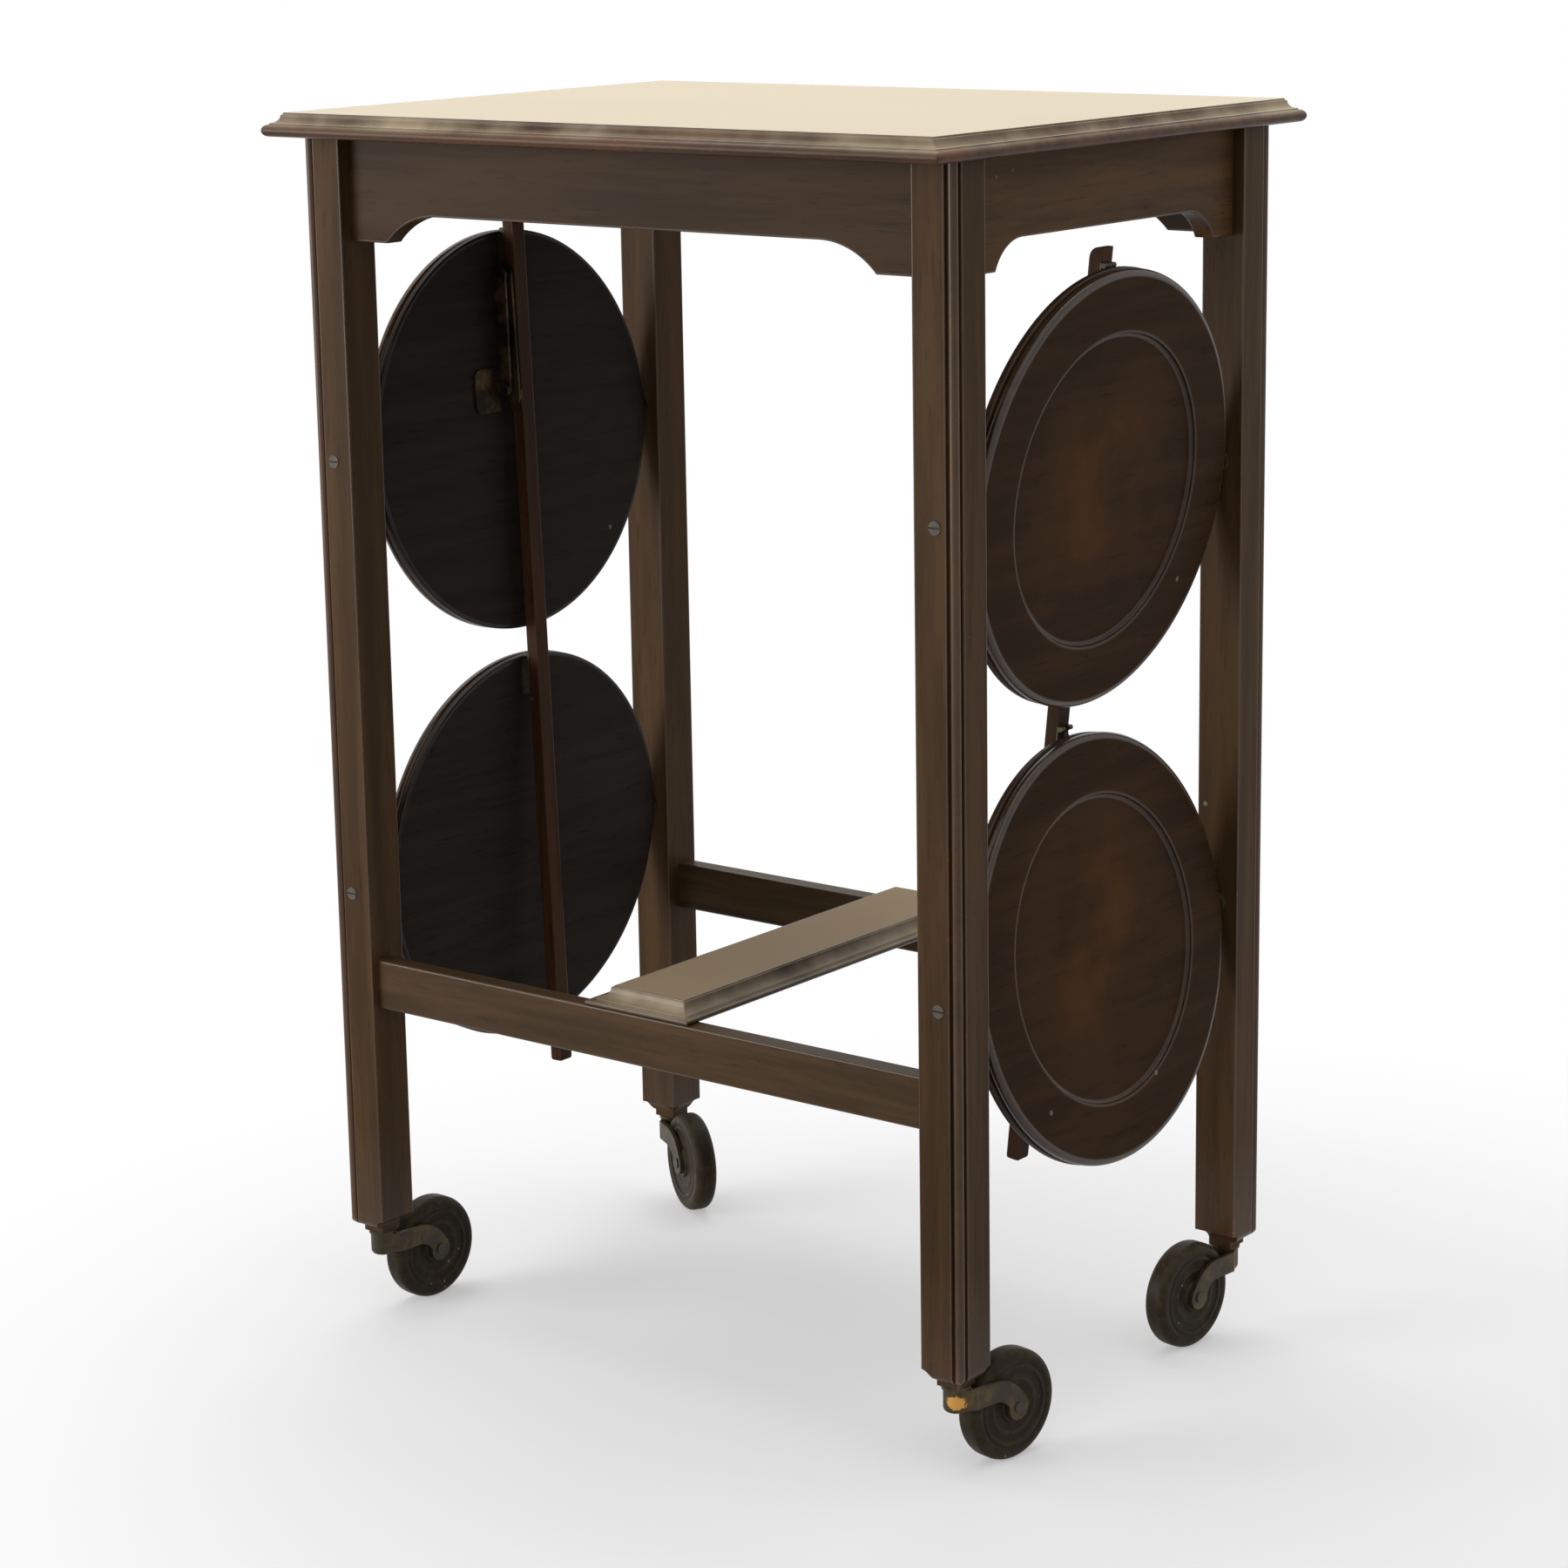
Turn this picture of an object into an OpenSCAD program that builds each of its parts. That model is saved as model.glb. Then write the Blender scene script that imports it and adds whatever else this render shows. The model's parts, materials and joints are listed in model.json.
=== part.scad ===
// Serving trolley with four folding round trays, millimetres.
// The origin is the centre of the table top's upper face, +Z is up, the long side runs along X.

/* [Table top] */
// How far the top stands out past the legs at each end
top_over_end = 9; // [6:0.5:20]
// How far the top stands out past the legs at the front and back
top_over_side = 26.5; // [15:0.5:35]
// Thickness of the top board
top_t = 14; // [12:0.5:18]
// How far the moulded edge stands out past the flat face
top_mould = 9.5; // [8:0.1:11]

/* [Frame] */
// Height of the whole trolley from the floor
total_h = 762; // [750:1:790]
// Length over the outer faces of the legs
frame_l = 480; // [450:1:488]
// Width over the outer faces of the legs
frame_w = 318; // [314:0.2:330]
// Side of the square leg section
leg_s = 28.5; // [27:0.1:30]
// Height of the feet above the floor, taken up by the casters
leg_foot_h = 55.5; // [54:0.5:60]
// Width of the square rebate that holds the corner bead
bead_rebate = 6.8; // [5.5:0.1:8]
// Radius of the bead along each outer leg corner
bead_r = 2.8; // [2:0.1:3]
// Radius of the coves and rounds that narrow each foot
foot_cove_r = 6.5; // [4:0.5:7]
// Height of the straight neck under each foot's coves
foot_neck_h = 4; // [2:0.5:6]

/* [Aprons and rails] */
// Thickness of the aprons
apron_t = 13; // [10:0.5:14]
// Height of the aprons at mid span
apron_h = 46; // [40:1:52]
// Extra drop of the shaped brackets beside the legs
bracket_drop = 17; // [12:0.5:20]
// Width of the long aprons' bracket toes beside the legs
toe_long = 29.5; // [20:0.5:36]
// Width of the short aprons' bracket toes
toe_short = 20.5; // [15:0.5:26]
// Radius of the curve that runs into the long aprons' brackets
curve_long_r = 54; // [30:1:70]
// Radius of the curve that runs into the short aprons' brackets
curve_short_r = 29; // [20:1:40]
// Setback of the aprons from the outer leg faces
apron_setback = 8; // [6:0.5:10]
// Depth of the rails' upper edge below the top face
rail_top_depth = 524; // [515:1:535]
// Height of the two lower rails
rail_h = 31; // [26:1:36]
// Thickness of the two lower rails
rail_t = 13; // [11:0.5:15]
// Setback of the lower rails from the outer leg faces
rail_setback = 4.7; // [3:0.1:8]
// Length of every tenon
tenon_l = 10; // [6:0.5:12]
// Thickness of every tenon
tenon_t = 6; // [5:0.5:8]
// Shoulder above and below every tenon
tenon_shoulder = 5; // [3:0.5:7]

/* [Shelf plank] */
// Width of the plank's foot along X
shelf_w = 80; // [60:1:100]
// Thickness of the plank
shelf_t = 11; // [9:0.5:13]
// How far the plank's moulding stands out past its flat face
shelf_mould = 12.5; // [11:0.1:14]

/* [Trays] */
// Gap between each tray's rim and the legs beside it
tray_gap = 3.5; // [3:0.1:6]
// Thickness of each tray
tray_t = 12; // [11:0.25:13]
// Diameter of the sunk dish
dish_d = 182; // [170:1:195]
// Depth of the sunk dish
dish_depth = 3; // [2.25:0.25:4.5]
// Depth of the upright upper trays' rims below the top face
tray_top_depth = 83.4; // [81:0.2:89]
// Space between the rims of an end's upright upper and lower trays
tray_space = 17.5; // [14:0.5:26]
// Resting tilt of the upper left tray, positive with its head inwards
tilt_ul = -2; // [-3:0.1:0]
// Resting tilt of the lower left tray
tilt_ll = 2.4; // [1:0.1:3]
// Resting tilt of the upper right tray
tilt_ur = -6.3; // [-7:0.1:0]
// Resting tilt of the lower right tray
tilt_lr = 7.1; // [1:0.1:7.5]

/* [Pivot screws] */
// Radius of the pivot screw's shank
pivot_r = 2.5; // [2:0.1:3]
// Radius of the screw's head
pivot_head_r = 4; // [3.5:0.1:4.5]
// Length of the shank inside the tray
pivot_grip = 22; // [15:1:25]
// Radial running clearance of every round pivot
run_gap = 0.06; // [0.03:0.01:0.09]

/* [Link bars] */
// Width of a link bar, square to the tray
bar_w = 9; // [8:0.5:12]
// Thickness of a link bar along Y
bar_t = 11; // [8:0.5:12]
// Height of a bar's head above its hinge pin
bar_head = 10; // [8:0.5:12]
// Clearance of a bar's foot above the floor with the trays level
bar_foot_gap = 1.5; // [1:0.5:6]
// Radius that rounds the inner corner of a bar's head
bar_round = 6.5; // [3:0.5:7.5]
// Radius that rounds the inner corner of a bar's foot
bar_foot_round = 2; // [1:0.5:5]

/* [Tray hinges] */
// Radius of the hinge knuckles
knuckle_r = 1.45; // [1.2:0.05:1.5]
// Radius of the hinge pin
hinge_pin_r = 0.8; // [0.6:0.05:0.9]
// Thickness of the hinge leaves
leaf_t = 1.2; // [1:0.1:1.3]
// Length of the hinge leaves
leaf_l = 24; // [18:1:30]
// Width of the leaves under the trays
leaf_w = 14; // [12:1:18]

/* [Folding stays] */
// Length of the stay arm between its pivots
stay_arm_l = 72.5; // [71:0.5:75]
// Length of the stay link between its pivots
stay_link_l = 78; // [77.5:0.25:80]
// Width of the stay arm and link
stay_w = 9.5; // [8:0.25:9.5]
// Thickness of the stay arm and link
stay_t = 1.8; // [1.5:0.1:2]
// Radius of the stay's rivets
rivet_r = 2; // [1.5:0.1:2.5]
// Height of the stay's tray pivot above the tray's own pivot
stay_lift = 28; // [27:0.5:30]
// Height of the stay's bar pivot above the tray's own pivot when the bar hangs shut
stay_bar_lift = 22.5; // [20.5:0.5:23.5]
// Length of the collar between the stay arm and the stay link
collar_l = 3.5; // [2:0.5:4]

/* [Casters] */
// Radius of the caster wheels
wheel_r = 33.2; // [32:0.1:34]
// Width of the wheels at the tread
wheel_w = 15; // [12:0.5:16]
// Distance of the axle behind the swivel
trail = 40; // [39:0.5:42]
// Radius of the axle
axle_r = 2.5; // [2:0.1:3]
// Thickness of the horn's arms
horn_t = 2.6; // [2.2:0.1:4]
// Height of the horn's arms
horn_h = 12.5; // [9:0.5:13]
// Middle radius of the bend in the horn's arms
horn_bend_r = 19; // [16:0.5:28]
// Radius of the housing around the swivel stem
boss_r = 7.5; // [7:0.25:8.2]
// Radius of the swivel stem
stem_r = 4; // [3:0.1:4.5]
// Heading of the front left wheel
heading_fl = 86; // [-180:1:180]
// Heading of the front right wheel
heading_fr = 80; // [-180:1:180]
// Heading of the back left wheel
heading_bl = -31; // [-180:1:180]
// Heading of the back right wheel
heading_br = -96; // [-180:1:180]

/* [Hidden] */
$fn = 64;
// A cut runs this far past the faces that it opens
past = 1;
// A tenon reaches this far back into its own board
tenon_root = 2;
// Two bodies pass each other at this distance
clear = 0.3;
// A glued or driven part sits this far off its hole's wall
seat_gap = 0.05;
wood_dark = [0.24, 0.17, 0.12];
wood_mid = [0.30, 0.22, 0.15];
wood_hidden = [0.42, 0.31, 0.21];
brass = [0.36, 0.30, 0.18];
steel = [0.35, 0.35, 0.34];
wheel_black = [0.12, 0.11, 0.10];

leg_x = frame_l / 2 - leg_s / 2;
leg_y = frame_w / 2 - leg_s / 2;
floor_z = -total_h;
foot_z = floor_z + leg_foot_h;
inner_x = leg_x - leg_s / 2;
inner_y = leg_y - leg_s / 2;
top_l = frame_l + 2 * top_over_end;
top_w = frame_w + 2 * top_over_side;

// Edge moulding of the top: fillet under the arris, cove, step and half-round nose
top_fillet = 1.2;
top_cove_r = top_mould / 2;
top_step_h = 0.8;
shelf_fillet = 0.8;
shelf_cove_r = 6.4;
shelf_step_h = 0.6;

apron_front_y = frame_w / 2 - apron_setback - apron_t / 2;
apron_side_x = frame_l / 2 - apron_setback - apron_t / 2;
apron_z = -top_t - apron_h;
rail_y = frame_w / 2 - rail_setback - rail_t / 2;
rail_z = -rail_top_depth - rail_h;
shelf_z = -rail_top_depth;
shelf_l = 2 * (rail_y + rail_t / 2);
block_s = 14;
block_l = 44;
block_inset = 70;
block_x = inner_x - block_inset;
top_screw_r = 2;
top_screw_bite = 8;
top_screw_head_r = 3.6;
top_screw_head_h = 2.4;
slot_w = 1;
slot_depth = 1;

tray_r = inner_y - tray_gap;
pivot_pitch = 2 * tray_r + tray_space;
upper_z = -tray_top_depth - tray_r;
lower_z = upper_z - pivot_pitch;
dish_r = dish_d / 2;
rim_bead_r = 2.3;
rim_quirk = 0.8;
rim_back_r = 1.6;
dish_cove_r = 2;
pivot_head_h = 2.4;
pivot_head_proud = 0.5;
washer_r = 6;

// The hinge pin lies just past the rim, midway between tray and bar
pin_out = tray_r + 0.5;
pin_in = tray_t / 2 + knuckle_r + 0.05;
bar_off = knuckle_r + 0.05;
knuckle_w = 3.2;
bar_drop = total_h + upper_z - pin_in - bar_foot_gap;

// Lanes of the stay beside the bar, all on its -Y side
anchor_t = 1.2;
anchor_l = 13;
anchor_w = 9.4;
stub_l = 0.2;
link_lane = -bar_t / 2 - anchor_t - stub_l - clear;
arm_lane = link_lane - stay_t - clear - collar_l;
cheek_lane = arm_lane - stay_t - clear;
cheek_t = 2;
stay_in = tray_t / 2 + stay_w / 2 + 0.6;
stay_reach = pin_out - stay_bar_lift;
bracket_w = 22;
bracket_h = 28;
bracket_t = 1.4;
rivet_head = 0.8;
rivet_head_r = 3.4;

// Caster heights
hub_z = floor_z + wheel_r;
flange_t = 2;
flange_r = 8.5;
swivel_gap = 0.2;
crown_top = foot_z - flange_t - swivel_gap;
socket_r = 6;
socket_l = 34;
hub_w = wheel_w + 1.2;
hub_r = 10;
arm_in = hub_w / 2 + clear;
arm_out = arm_in + horn_t;
horn_bend_z = crown_top - horn_bend_r - horn_h / 2;
horn_bend_x = trail - sqrt(horn_bend_r ^ 2 - (hub_z - horn_bend_z) ^ 2);
horn_end_r = 7.6;
boss_h = 14;
boss_round = 3;
crown_flare = 6;
wheel_pocket = 1.2;
tread_r = 4.5;
tread_groove = 1;
web_r = 22;
web_in = 1.6;

// Pin of a tray's rim hinge, seen from the tray's pivot: distance inwards and height
function pin_at(tilt) =
    [pin_in * cos(tilt) + pin_out * sin(tilt), pin_out * cos(tilt) - pin_in * sin(tilt)];
// A bar leans so that its line passes through both hinge pins
function lean(up, low) =
    let (a = pin_at(up), b = pin_at(low))
    atan((b[0] - a[0]) / (a[1] - b[1] + pivot_pitch));
// Tray pivot of the stay, in the same plane
function stay_a(up) =
    [stay_in * cos(up) + stay_lift * sin(up), stay_lift * cos(up) - stay_in * sin(up)];
// Bar pivot of the stay
function stay_b(up, low) =
    let (p = pin_at(up), l = lean(up, low), o = bar_off + bar_w / 2)
    [p[0] + o * cos(l) + stay_reach * sin(l), p[1] + o * sin(l) - stay_reach * cos(l)];
// Knuckle of the stay, by the law of cosines, on the upper side
function stay_k(up, low) =
    let (a = stay_a(up), b = stay_b(up, low), d = norm(b - a))
    let (along = (stay_arm_l ^ 2 - stay_link_l ^ 2 + d ^ 2) / (2 * d))
    let (off = sqrt(stay_arm_l ^ 2 - along ^ 2), u = (b - a) / d)
    let (s = u[0] > 0 ? 1 : -1)
    a + along * u + s * off * [-u[1], u[0]];
// Angle of a line from the vertical, positive with its head inwards
function head_angle(from, to) = atan2(to[0] - from[0], to[1] - from[1]);

// Mirrors its children to the left for side -1
module on_side(side) {
    mirror([side < 0 ? 1 : 0, 0, 0]) children();
}

// A cylinder along Y that starts at y0 and runs in +Y
module rod_y(r, y0, l) {
    translate([0, y0, 0]) rotate([-90, 0, 0]) cylinder(r = r, h = l);
}

// Section taken off a board's edge, x inwards from the nose, y down from the top face
module edge_section(t, out, fillet, cove, step) {
    nose = (t - fillet - cove - step) / 2;
    cove_x = out - past - cove;
    translate([-past, -past]) square([out + past, fillet + past]);
    translate([cove_x, fillet]) circle(r = cove);
    translate([-past, 0]) square([cove_x + past, fillet + cove + step]);
    difference() {
        translate([-past, t - 2 * nose]) square([nose + past, 2 * nose + past]);
        translate([nose, t - nose]) circle(r = nose);
    }
}

// A board with its upper face at z = 0 and a moulded edge all round
module moulded_board(l, w, t, out, fillet, cove, step) {
    difference() {
        translate([-l / 2, -w / 2, -t]) cube([l, w, t]);
        for (turn = [0, 1, 2, 3]) {
            reach = turn % 2 == 0 ? l / 2 : w / 2;
            span = l + w;
            rotate([0, 0, 90 * turn])
                translate([reach, span / 2, 0])
                    rotate([90, 0, 0])
                        linear_extrude(span)
                            mirror([1, 0]) mirror([0, 1]) edge_section(t, out, fillet, cove, step);
        }
    }
}

module top_board() {
    color(wood_mid) difference() {
        moulded_board(top_l, top_w, top_t, top_mould, top_fillet, top_cove_r, top_step_h);
        top_screw_places()
            translate([0, 0, -past - top_t])
                cylinder(r = top_screw_r + seat_gap, h = top_screw_bite + seat_gap + past);
    }
}

// Tenon of the member that runs along X at y, for its end at side sx, or its mortise with a gap g
module tenon_x(sx, y, z, h, g = 0) {
    root = g > 0 ? g : tenon_root;
    translate([sx > 0 ? inner_x - root : -inner_x - tenon_l - g, y - tenon_t / 2 - g, z + tenon_shoulder - g])
        cube([tenon_l + root + g, tenon_t + 2 * g, h - 2 * tenon_shoulder + 2 * g]);
}

// Tenon of the side apron at x, for its end at side sy, or its mortise with a gap g
module tenon_y(sy, x, z, h, g = 0) {
    root = g > 0 ? g : tenon_root;
    translate([x - tenon_t / 2 - g, sy > 0 ? inner_y - root : -inner_y - tenon_l - g, z + tenon_shoulder - g])
        cube([tenon_t + 2 * g, tenon_l + root + g, h - 2 * tenon_shoulder + 2 * g]);
}

// Leg section with its bead towards +X and +Y
module leg_section() {
    difference() {
        square(leg_s, center = true);
        translate([leg_s / 2 - bead_rebate, leg_s / 2 - bead_rebate]) square(bead_rebate + past);
    }
    translate([leg_s / 2 - bead_r, leg_s / 2 - bead_r]) circle(r = bead_r);
    translate([leg_s / 2 - bead_rebate, leg_s / 2 - bead_rebate]) square(bead_rebate - bead_r);
}

// Hollow that narrows the foot on its +X side
module foot_cove() {
    translate([leg_s / 2, 0, 0]) rod_y(foot_cove_r, -leg_s, 2 * leg_s);
}

// Round that narrows the foot on its +X side
module foot_round() {
    translate([leg_s / 2 - foot_cove_r, 0, 0]) difference() {
        translate([0, -leg_s, -past]) cube([foot_cove_r + past, 2 * leg_s, foot_cove_r + past]);
        translate([0, 0, foot_cove_r]) rod_y(foot_cove_r, -leg_s - past, 2 * leg_s + 2 * past);
    }
}

// All that is cut away round the foot's straight neck
module foot_neck() {
    wide = leg_s + 2 * past;
    slim = leg_s - 2 * foot_cove_r;
    difference() {
        translate([-wide / 2, -wide / 2, -past]) cube([wide, wide, foot_neck_h + past]);
        translate([-slim / 2, -slim / 2, -2 * past]) cube([slim, slim, foot_neck_h + 4 * past]);
    }
}

module leg(sx, sy) {
    color(wood_dark) difference() {
        translate([sx * leg_x, sy * leg_y, foot_z])
            mirror([sx < 0 ? 1 : 0, 0, 0]) mirror([0, sy < 0 ? 1 : 0, 0])
                linear_extrude(-top_t - foot_z) leg_section();
        translate([sx * leg_x, sy * leg_y, foot_z]) foot_neck();
        translate([sx * leg_x, sy * leg_y, foot_z + foot_neck_h]) {
            mirror([sx > 0 ? 1 : 0, 0, 0]) foot_cove();
            mirror([sx > 0 ? 0 : 1, 0, 0]) foot_round();
            rotate([0, 0, 90]) {
                mirror([sy > 0 ? 1 : 0, 0, 0]) foot_cove();
                mirror([sy > 0 ? 0 : 1, 0, 0]) foot_round();
            }
        }
        translate([sx * leg_x, sy * leg_y, foot_z - past])
            cylinder(r = socket_r + seat_gap, h = socket_l + seat_gap + past);
        tenon_x(sx, sy * apron_front_y, apron_z, apron_h, seat_gap);
        tenon_y(sy, sx * apron_side_x, apron_z, apron_h, seat_gap);
        tenon_x(sx, sy * rail_y, rail_z, rail_h, seat_gap);
        pivot_places(sx, sy) {
            rod_y(pivot_r + seat_gap, -leg_s - past, leg_s + 2 * past);
            rod_y(pivot_head_r + seat_gap, -pivot_head_h + pivot_head_proud, pivot_head_h + past);
        }
    }
}

// Face of an apron whose shoulders are 2 * half apart, with its upper edge at y = 0
module apron_face(half, toe, curve_r) {
    full = apron_h + bracket_drop;
    reach = sqrt(curve_r ^ 2 - (curve_r - bracket_drop) ^ 2);
    straight = half - toe - reach;
    difference() {
        translate([-half, -full]) square([2 * half, full]);
        translate([-straight, -full - past]) square([2 * straight, bracket_drop + past]);
        for (s = [-1, 1]) intersection() {
            translate([s * straight, -apron_h - curve_r]) circle(r = curve_r);
            translate([s * (straight + reach / 2) - reach / 2 - past, -full - past])
                square([reach + 2 * past, bracket_drop + past]);
        }
    }
}

module apron_along_x(sy) {
    color(wood_dark) union() {
        translate([0, sy * apron_front_y + apron_t / 2, -top_t])
            rotate([90, 0, 0]) linear_extrude(apron_t) apron_face(inner_x, toe_long, curve_long_r);
        for (sx = [-1, 1]) tenon_x(sx, sy * apron_front_y, apron_z, apron_h);
    }
}

module apron_along_y(sx) {
    color(wood_dark) union() {
        translate([sx * apron_side_x - apron_t / 2, 0, -top_t])
            rotate([90, 0, 90]) linear_extrude(apron_t) apron_face(inner_y, toe_short, curve_short_r);
        for (sy = [-1, 1]) tenon_y(sy, sx * apron_side_x, apron_z, apron_h);
    }
}

module rail(sy) {
    color(wood_mid) union() {
        translate([-inner_x, sy * rail_y - rail_t / 2, rail_z]) cube([2 * inner_x, rail_t, rail_h]);
        for (sx = [-1, 1]) tenon_x(sx, sy * rail_y, rail_z, rail_h);
    }
}

module shelf_board() {
    color(wood_mid) translate([0, 0, shelf_z + shelf_t])
        moulded_board(shelf_w, shelf_l, shelf_t, shelf_mould, shelf_fillet, shelf_cove_r, shelf_step_h);
}

// Middles of the glue blocks behind the long aprons
module top_screw_places() {
    for (sx = [-1, 1], sy = [-1, 1])
        translate([sx * block_x, sy * (apron_front_y - apron_t / 2 - block_s / 2), 0]) children();
}

module top_blocks() {
    color(wood_hidden) difference() {
        top_screw_places() translate([-block_l / 2, -block_s / 2, -top_t - block_s])
            cube([block_l, block_s, block_s]);
        top_screw_places() translate([0, 0, -top_t - block_s - past])
            cylinder(r = top_screw_r + seat_gap, h = block_s + 2 * past);
    }
}

module top_screws() {
    color(steel) top_screw_places() translate([0, 0, -top_t - block_s]) difference() {
        union() {
            cylinder(r = top_screw_r, h = block_s + top_screw_bite);
            translate([0, 0, -top_screw_head_h]) cylinder(r = top_screw_head_r, h = top_screw_head_h);
        }
        translate([-top_screw_head_r - past, -slot_w / 2, -top_screw_head_h - past])
            cube([2 * (top_screw_head_r + past), slot_w, slot_depth + past]);
    }
}

// Both pivots of a leg, with the outer leg face at y = 0 and the frame's inside towards -y
module pivot_places(sx, sy) {
    for (z = [upper_z, lower_z])
        translate([sx * leg_x, sy * frame_w / 2, z]) mirror([0, sy < 0 ? 1 : 0, 0]) children();
}

module pivot_screw() {
    shank = frame_w / 2 - tray_r + pivot_grip;
    head_top = pivot_head_proud;
    difference() {
        union() {
            rod_y(pivot_r, -shank, shank);
            rod_y(pivot_head_r, head_top - pivot_head_h, pivot_head_h);
        }
        translate([-pivot_head_r - past, head_top - slot_depth, -slot_w / 2])
            cube([2 * (pivot_head_r + past), slot_depth + past, slot_w]);
    }
}

module pivot_screws(sx) {
    color(steel) for (sy = [-1, 1]) pivot_places(sx, sy) pivot_screw();
}

module pivot_washers() {
    gap = inner_y - tray_r;
    color(brass) for (sx = [-1, 1], sy = [-1, 1]) pivot_places(sx, sy) difference() {
        rod_y(washer_r, -leg_s - gap + clear, gap - clear);
        rod_y(pivot_r + seat_gap, -leg_s - gap, gap + past);
    }
}

// Puts a tray's own frame in place: x outwards, z up along the tray, origin at its pivot
module on_tray(side, z, tilt) {
    on_side(side) translate([leg_x, 0, z]) rotate([0, -tilt, 0]) children();
}

// Half section of a tray, x from its centre, y towards the dish side
module tray_section() {
    half = tray_t / 2;
    difference() {
        translate([0, -half]) square([tray_r, tray_t]);
        translate([0, half - dish_depth]) square([dish_r - dish_cove_r, dish_depth + past]);
        difference() {
            translate([0, half - dish_depth]) square([dish_r, dish_depth + past]);
            translate([dish_r - dish_cove_r, half - dish_depth - past])
                square([dish_cove_r, dish_cove_r + past]);
        }
        translate([dish_r - dish_cove_r, half - dish_depth + dish_cove_r]) circle(r = dish_cove_r);
        difference() {
            translate([tray_r - rim_bead_r, half - 2 * rim_bead_r - rim_quirk])
                square([rim_bead_r + past, 2 * rim_bead_r + rim_quirk + past]);
            translate([tray_r - rim_bead_r, half - rim_bead_r]) circle(r = rim_bead_r);
        }
        difference() {
            translate([tray_r - rim_back_r, -half - past]) square([rim_back_r + past, rim_back_r + past]);
            translate([tray_r - rim_back_r, -half + rim_back_r]) circle(r = rim_back_r);
        }
    }
}

module tray(side, z, tilt) {
    color(wood_dark) on_tray(side, z, tilt) difference() {
        rotate([0, 90, 0]) rotate_extrude() tray_section();
        for (turn = [0, 180]) rotate([turn, 0, 0]) rod_y(pivot_r + run_gap, tray_r - pivot_grip - past,
            pivot_grip + 2 * past);
    }
}

// Leaf under a tray: a plate, and a knuckle around the hinge pin
module tray_leaf(side, z, tilt) {
    half = tray_t / 2;
    color(brass) on_tray(side, z, tilt) difference() {
        union() {
            translate([-half - leaf_t, -leaf_w / 2, pin_out - knuckle_r - leaf_l])
                cube([leaf_t, leaf_w, leaf_l - 1]);
            translate([-half - leaf_t, -knuckle_w / 2, pin_out - knuckle_r - 2])
                cube([leaf_t, knuckle_w, knuckle_r + 2]);
            translate([-pin_in, 0, pin_out]) rod_y(knuckle_r, -knuckle_w / 2, knuckle_w);
        }
        translate([-pin_in, 0, pin_out]) rod_y(hinge_pin_r + run_gap, -knuckle_w / 2 - past,
            knuckle_w + 2 * past);
    }
}

// Puts a bar's own frame in place: origin on its upper hinge pin, z up along the bar
module on_bar(side, up, low) {
    p = pin_at(up);
    on_side(side) translate([leg_x - p[0], 0, upper_z + p[1]]) rotate([0, lean(up, low), 0]) children();
}

module link_bar(side, up, low) {
    color(wood_dark) on_bar(side, up, low)
        translate([0, bar_t / 2, 0]) rotate([90, 0, 0]) linear_extrude(bar_t) bar_outline();
}

// Side view of a bar, with the corners away from the trays rounded
module bar_outline() {
    x0 = -bar_off - bar_w;
    difference() {
        translate([x0, -bar_drop]) square([bar_w, bar_drop + bar_head]);
        difference() {
            translate([x0 - past, bar_head - bar_round]) square([bar_round + past, bar_round + past]);
            translate([x0 + bar_round, bar_head - bar_round]) circle(r = bar_round);
        }
        difference() {
            translate([x0 - past, -bar_drop - past]) square([bar_foot_round + past, bar_foot_round + past]);
            translate([x0 + bar_foot_round, -bar_drop + bar_foot_round]) circle(r = bar_foot_round);
        }
        for (z = [0, -pivot_pitch])
            translate([-bar_off - leaf_t, z - leaf_l]) square([leaf_t + past, leaf_l + knuckle_r + clear]);
    }
}

// Leaves let into a bar, with two ears each beside the trays' knuckles
module bar_leaves(side, up, low) {
    ear_w = (bar_t - knuckle_w) / 2 - clear;
    color(brass) on_bar(side, up, low) for (z = [0, -pivot_pitch]) difference() {
        union() {
            translate([-bar_off - leaf_t, -bar_t / 2, z - leaf_l]) cube([leaf_t, bar_t, leaf_l + knuckle_r]);
            for (s = [-1, 1]) translate([0, s * (bar_t - ear_w) / 2, z]) {
                rod_y(knuckle_r, -ear_w / 2, ear_w);
                translate([-bar_off - leaf_t / 2, -ear_w / 2, -knuckle_r])
                    cube([bar_off + leaf_t / 2, ear_w, 2 * knuckle_r - 1]);
            }
        }
        translate([0, 0, z]) rod_y(hinge_pin_r, -bar_t, 2 * bar_t);
    }
}

// Pin of the upper hinge, and the pair of rivet ends in the lower one
module hinge_pin(side, up, low) {
    ear_w = (bar_t - knuckle_w) / 2 - clear;
    color(steel) on_bar(side, up, low) {
        rod_y(hinge_pin_r, -bar_t / 2, bar_t);
        for (s = [-1, 1]) translate([0, s * (bar_t - ear_w) / 2, -pivot_pitch])
            rod_y(hinge_pin_r, -ear_w / 2, ear_w);
    }
}

// A flat strip with round ends from the origin up along z, in the lane that starts at y0
module strip(l, y0, t) {
    translate([-stay_w / 2, y0 - t, 0]) cube([stay_w, t, l]);
    rod_y(stay_w / 2, y0 - t, t);
    translate([0, 0, l]) rod_y(stay_w / 2, y0 - t, t);
}

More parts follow.
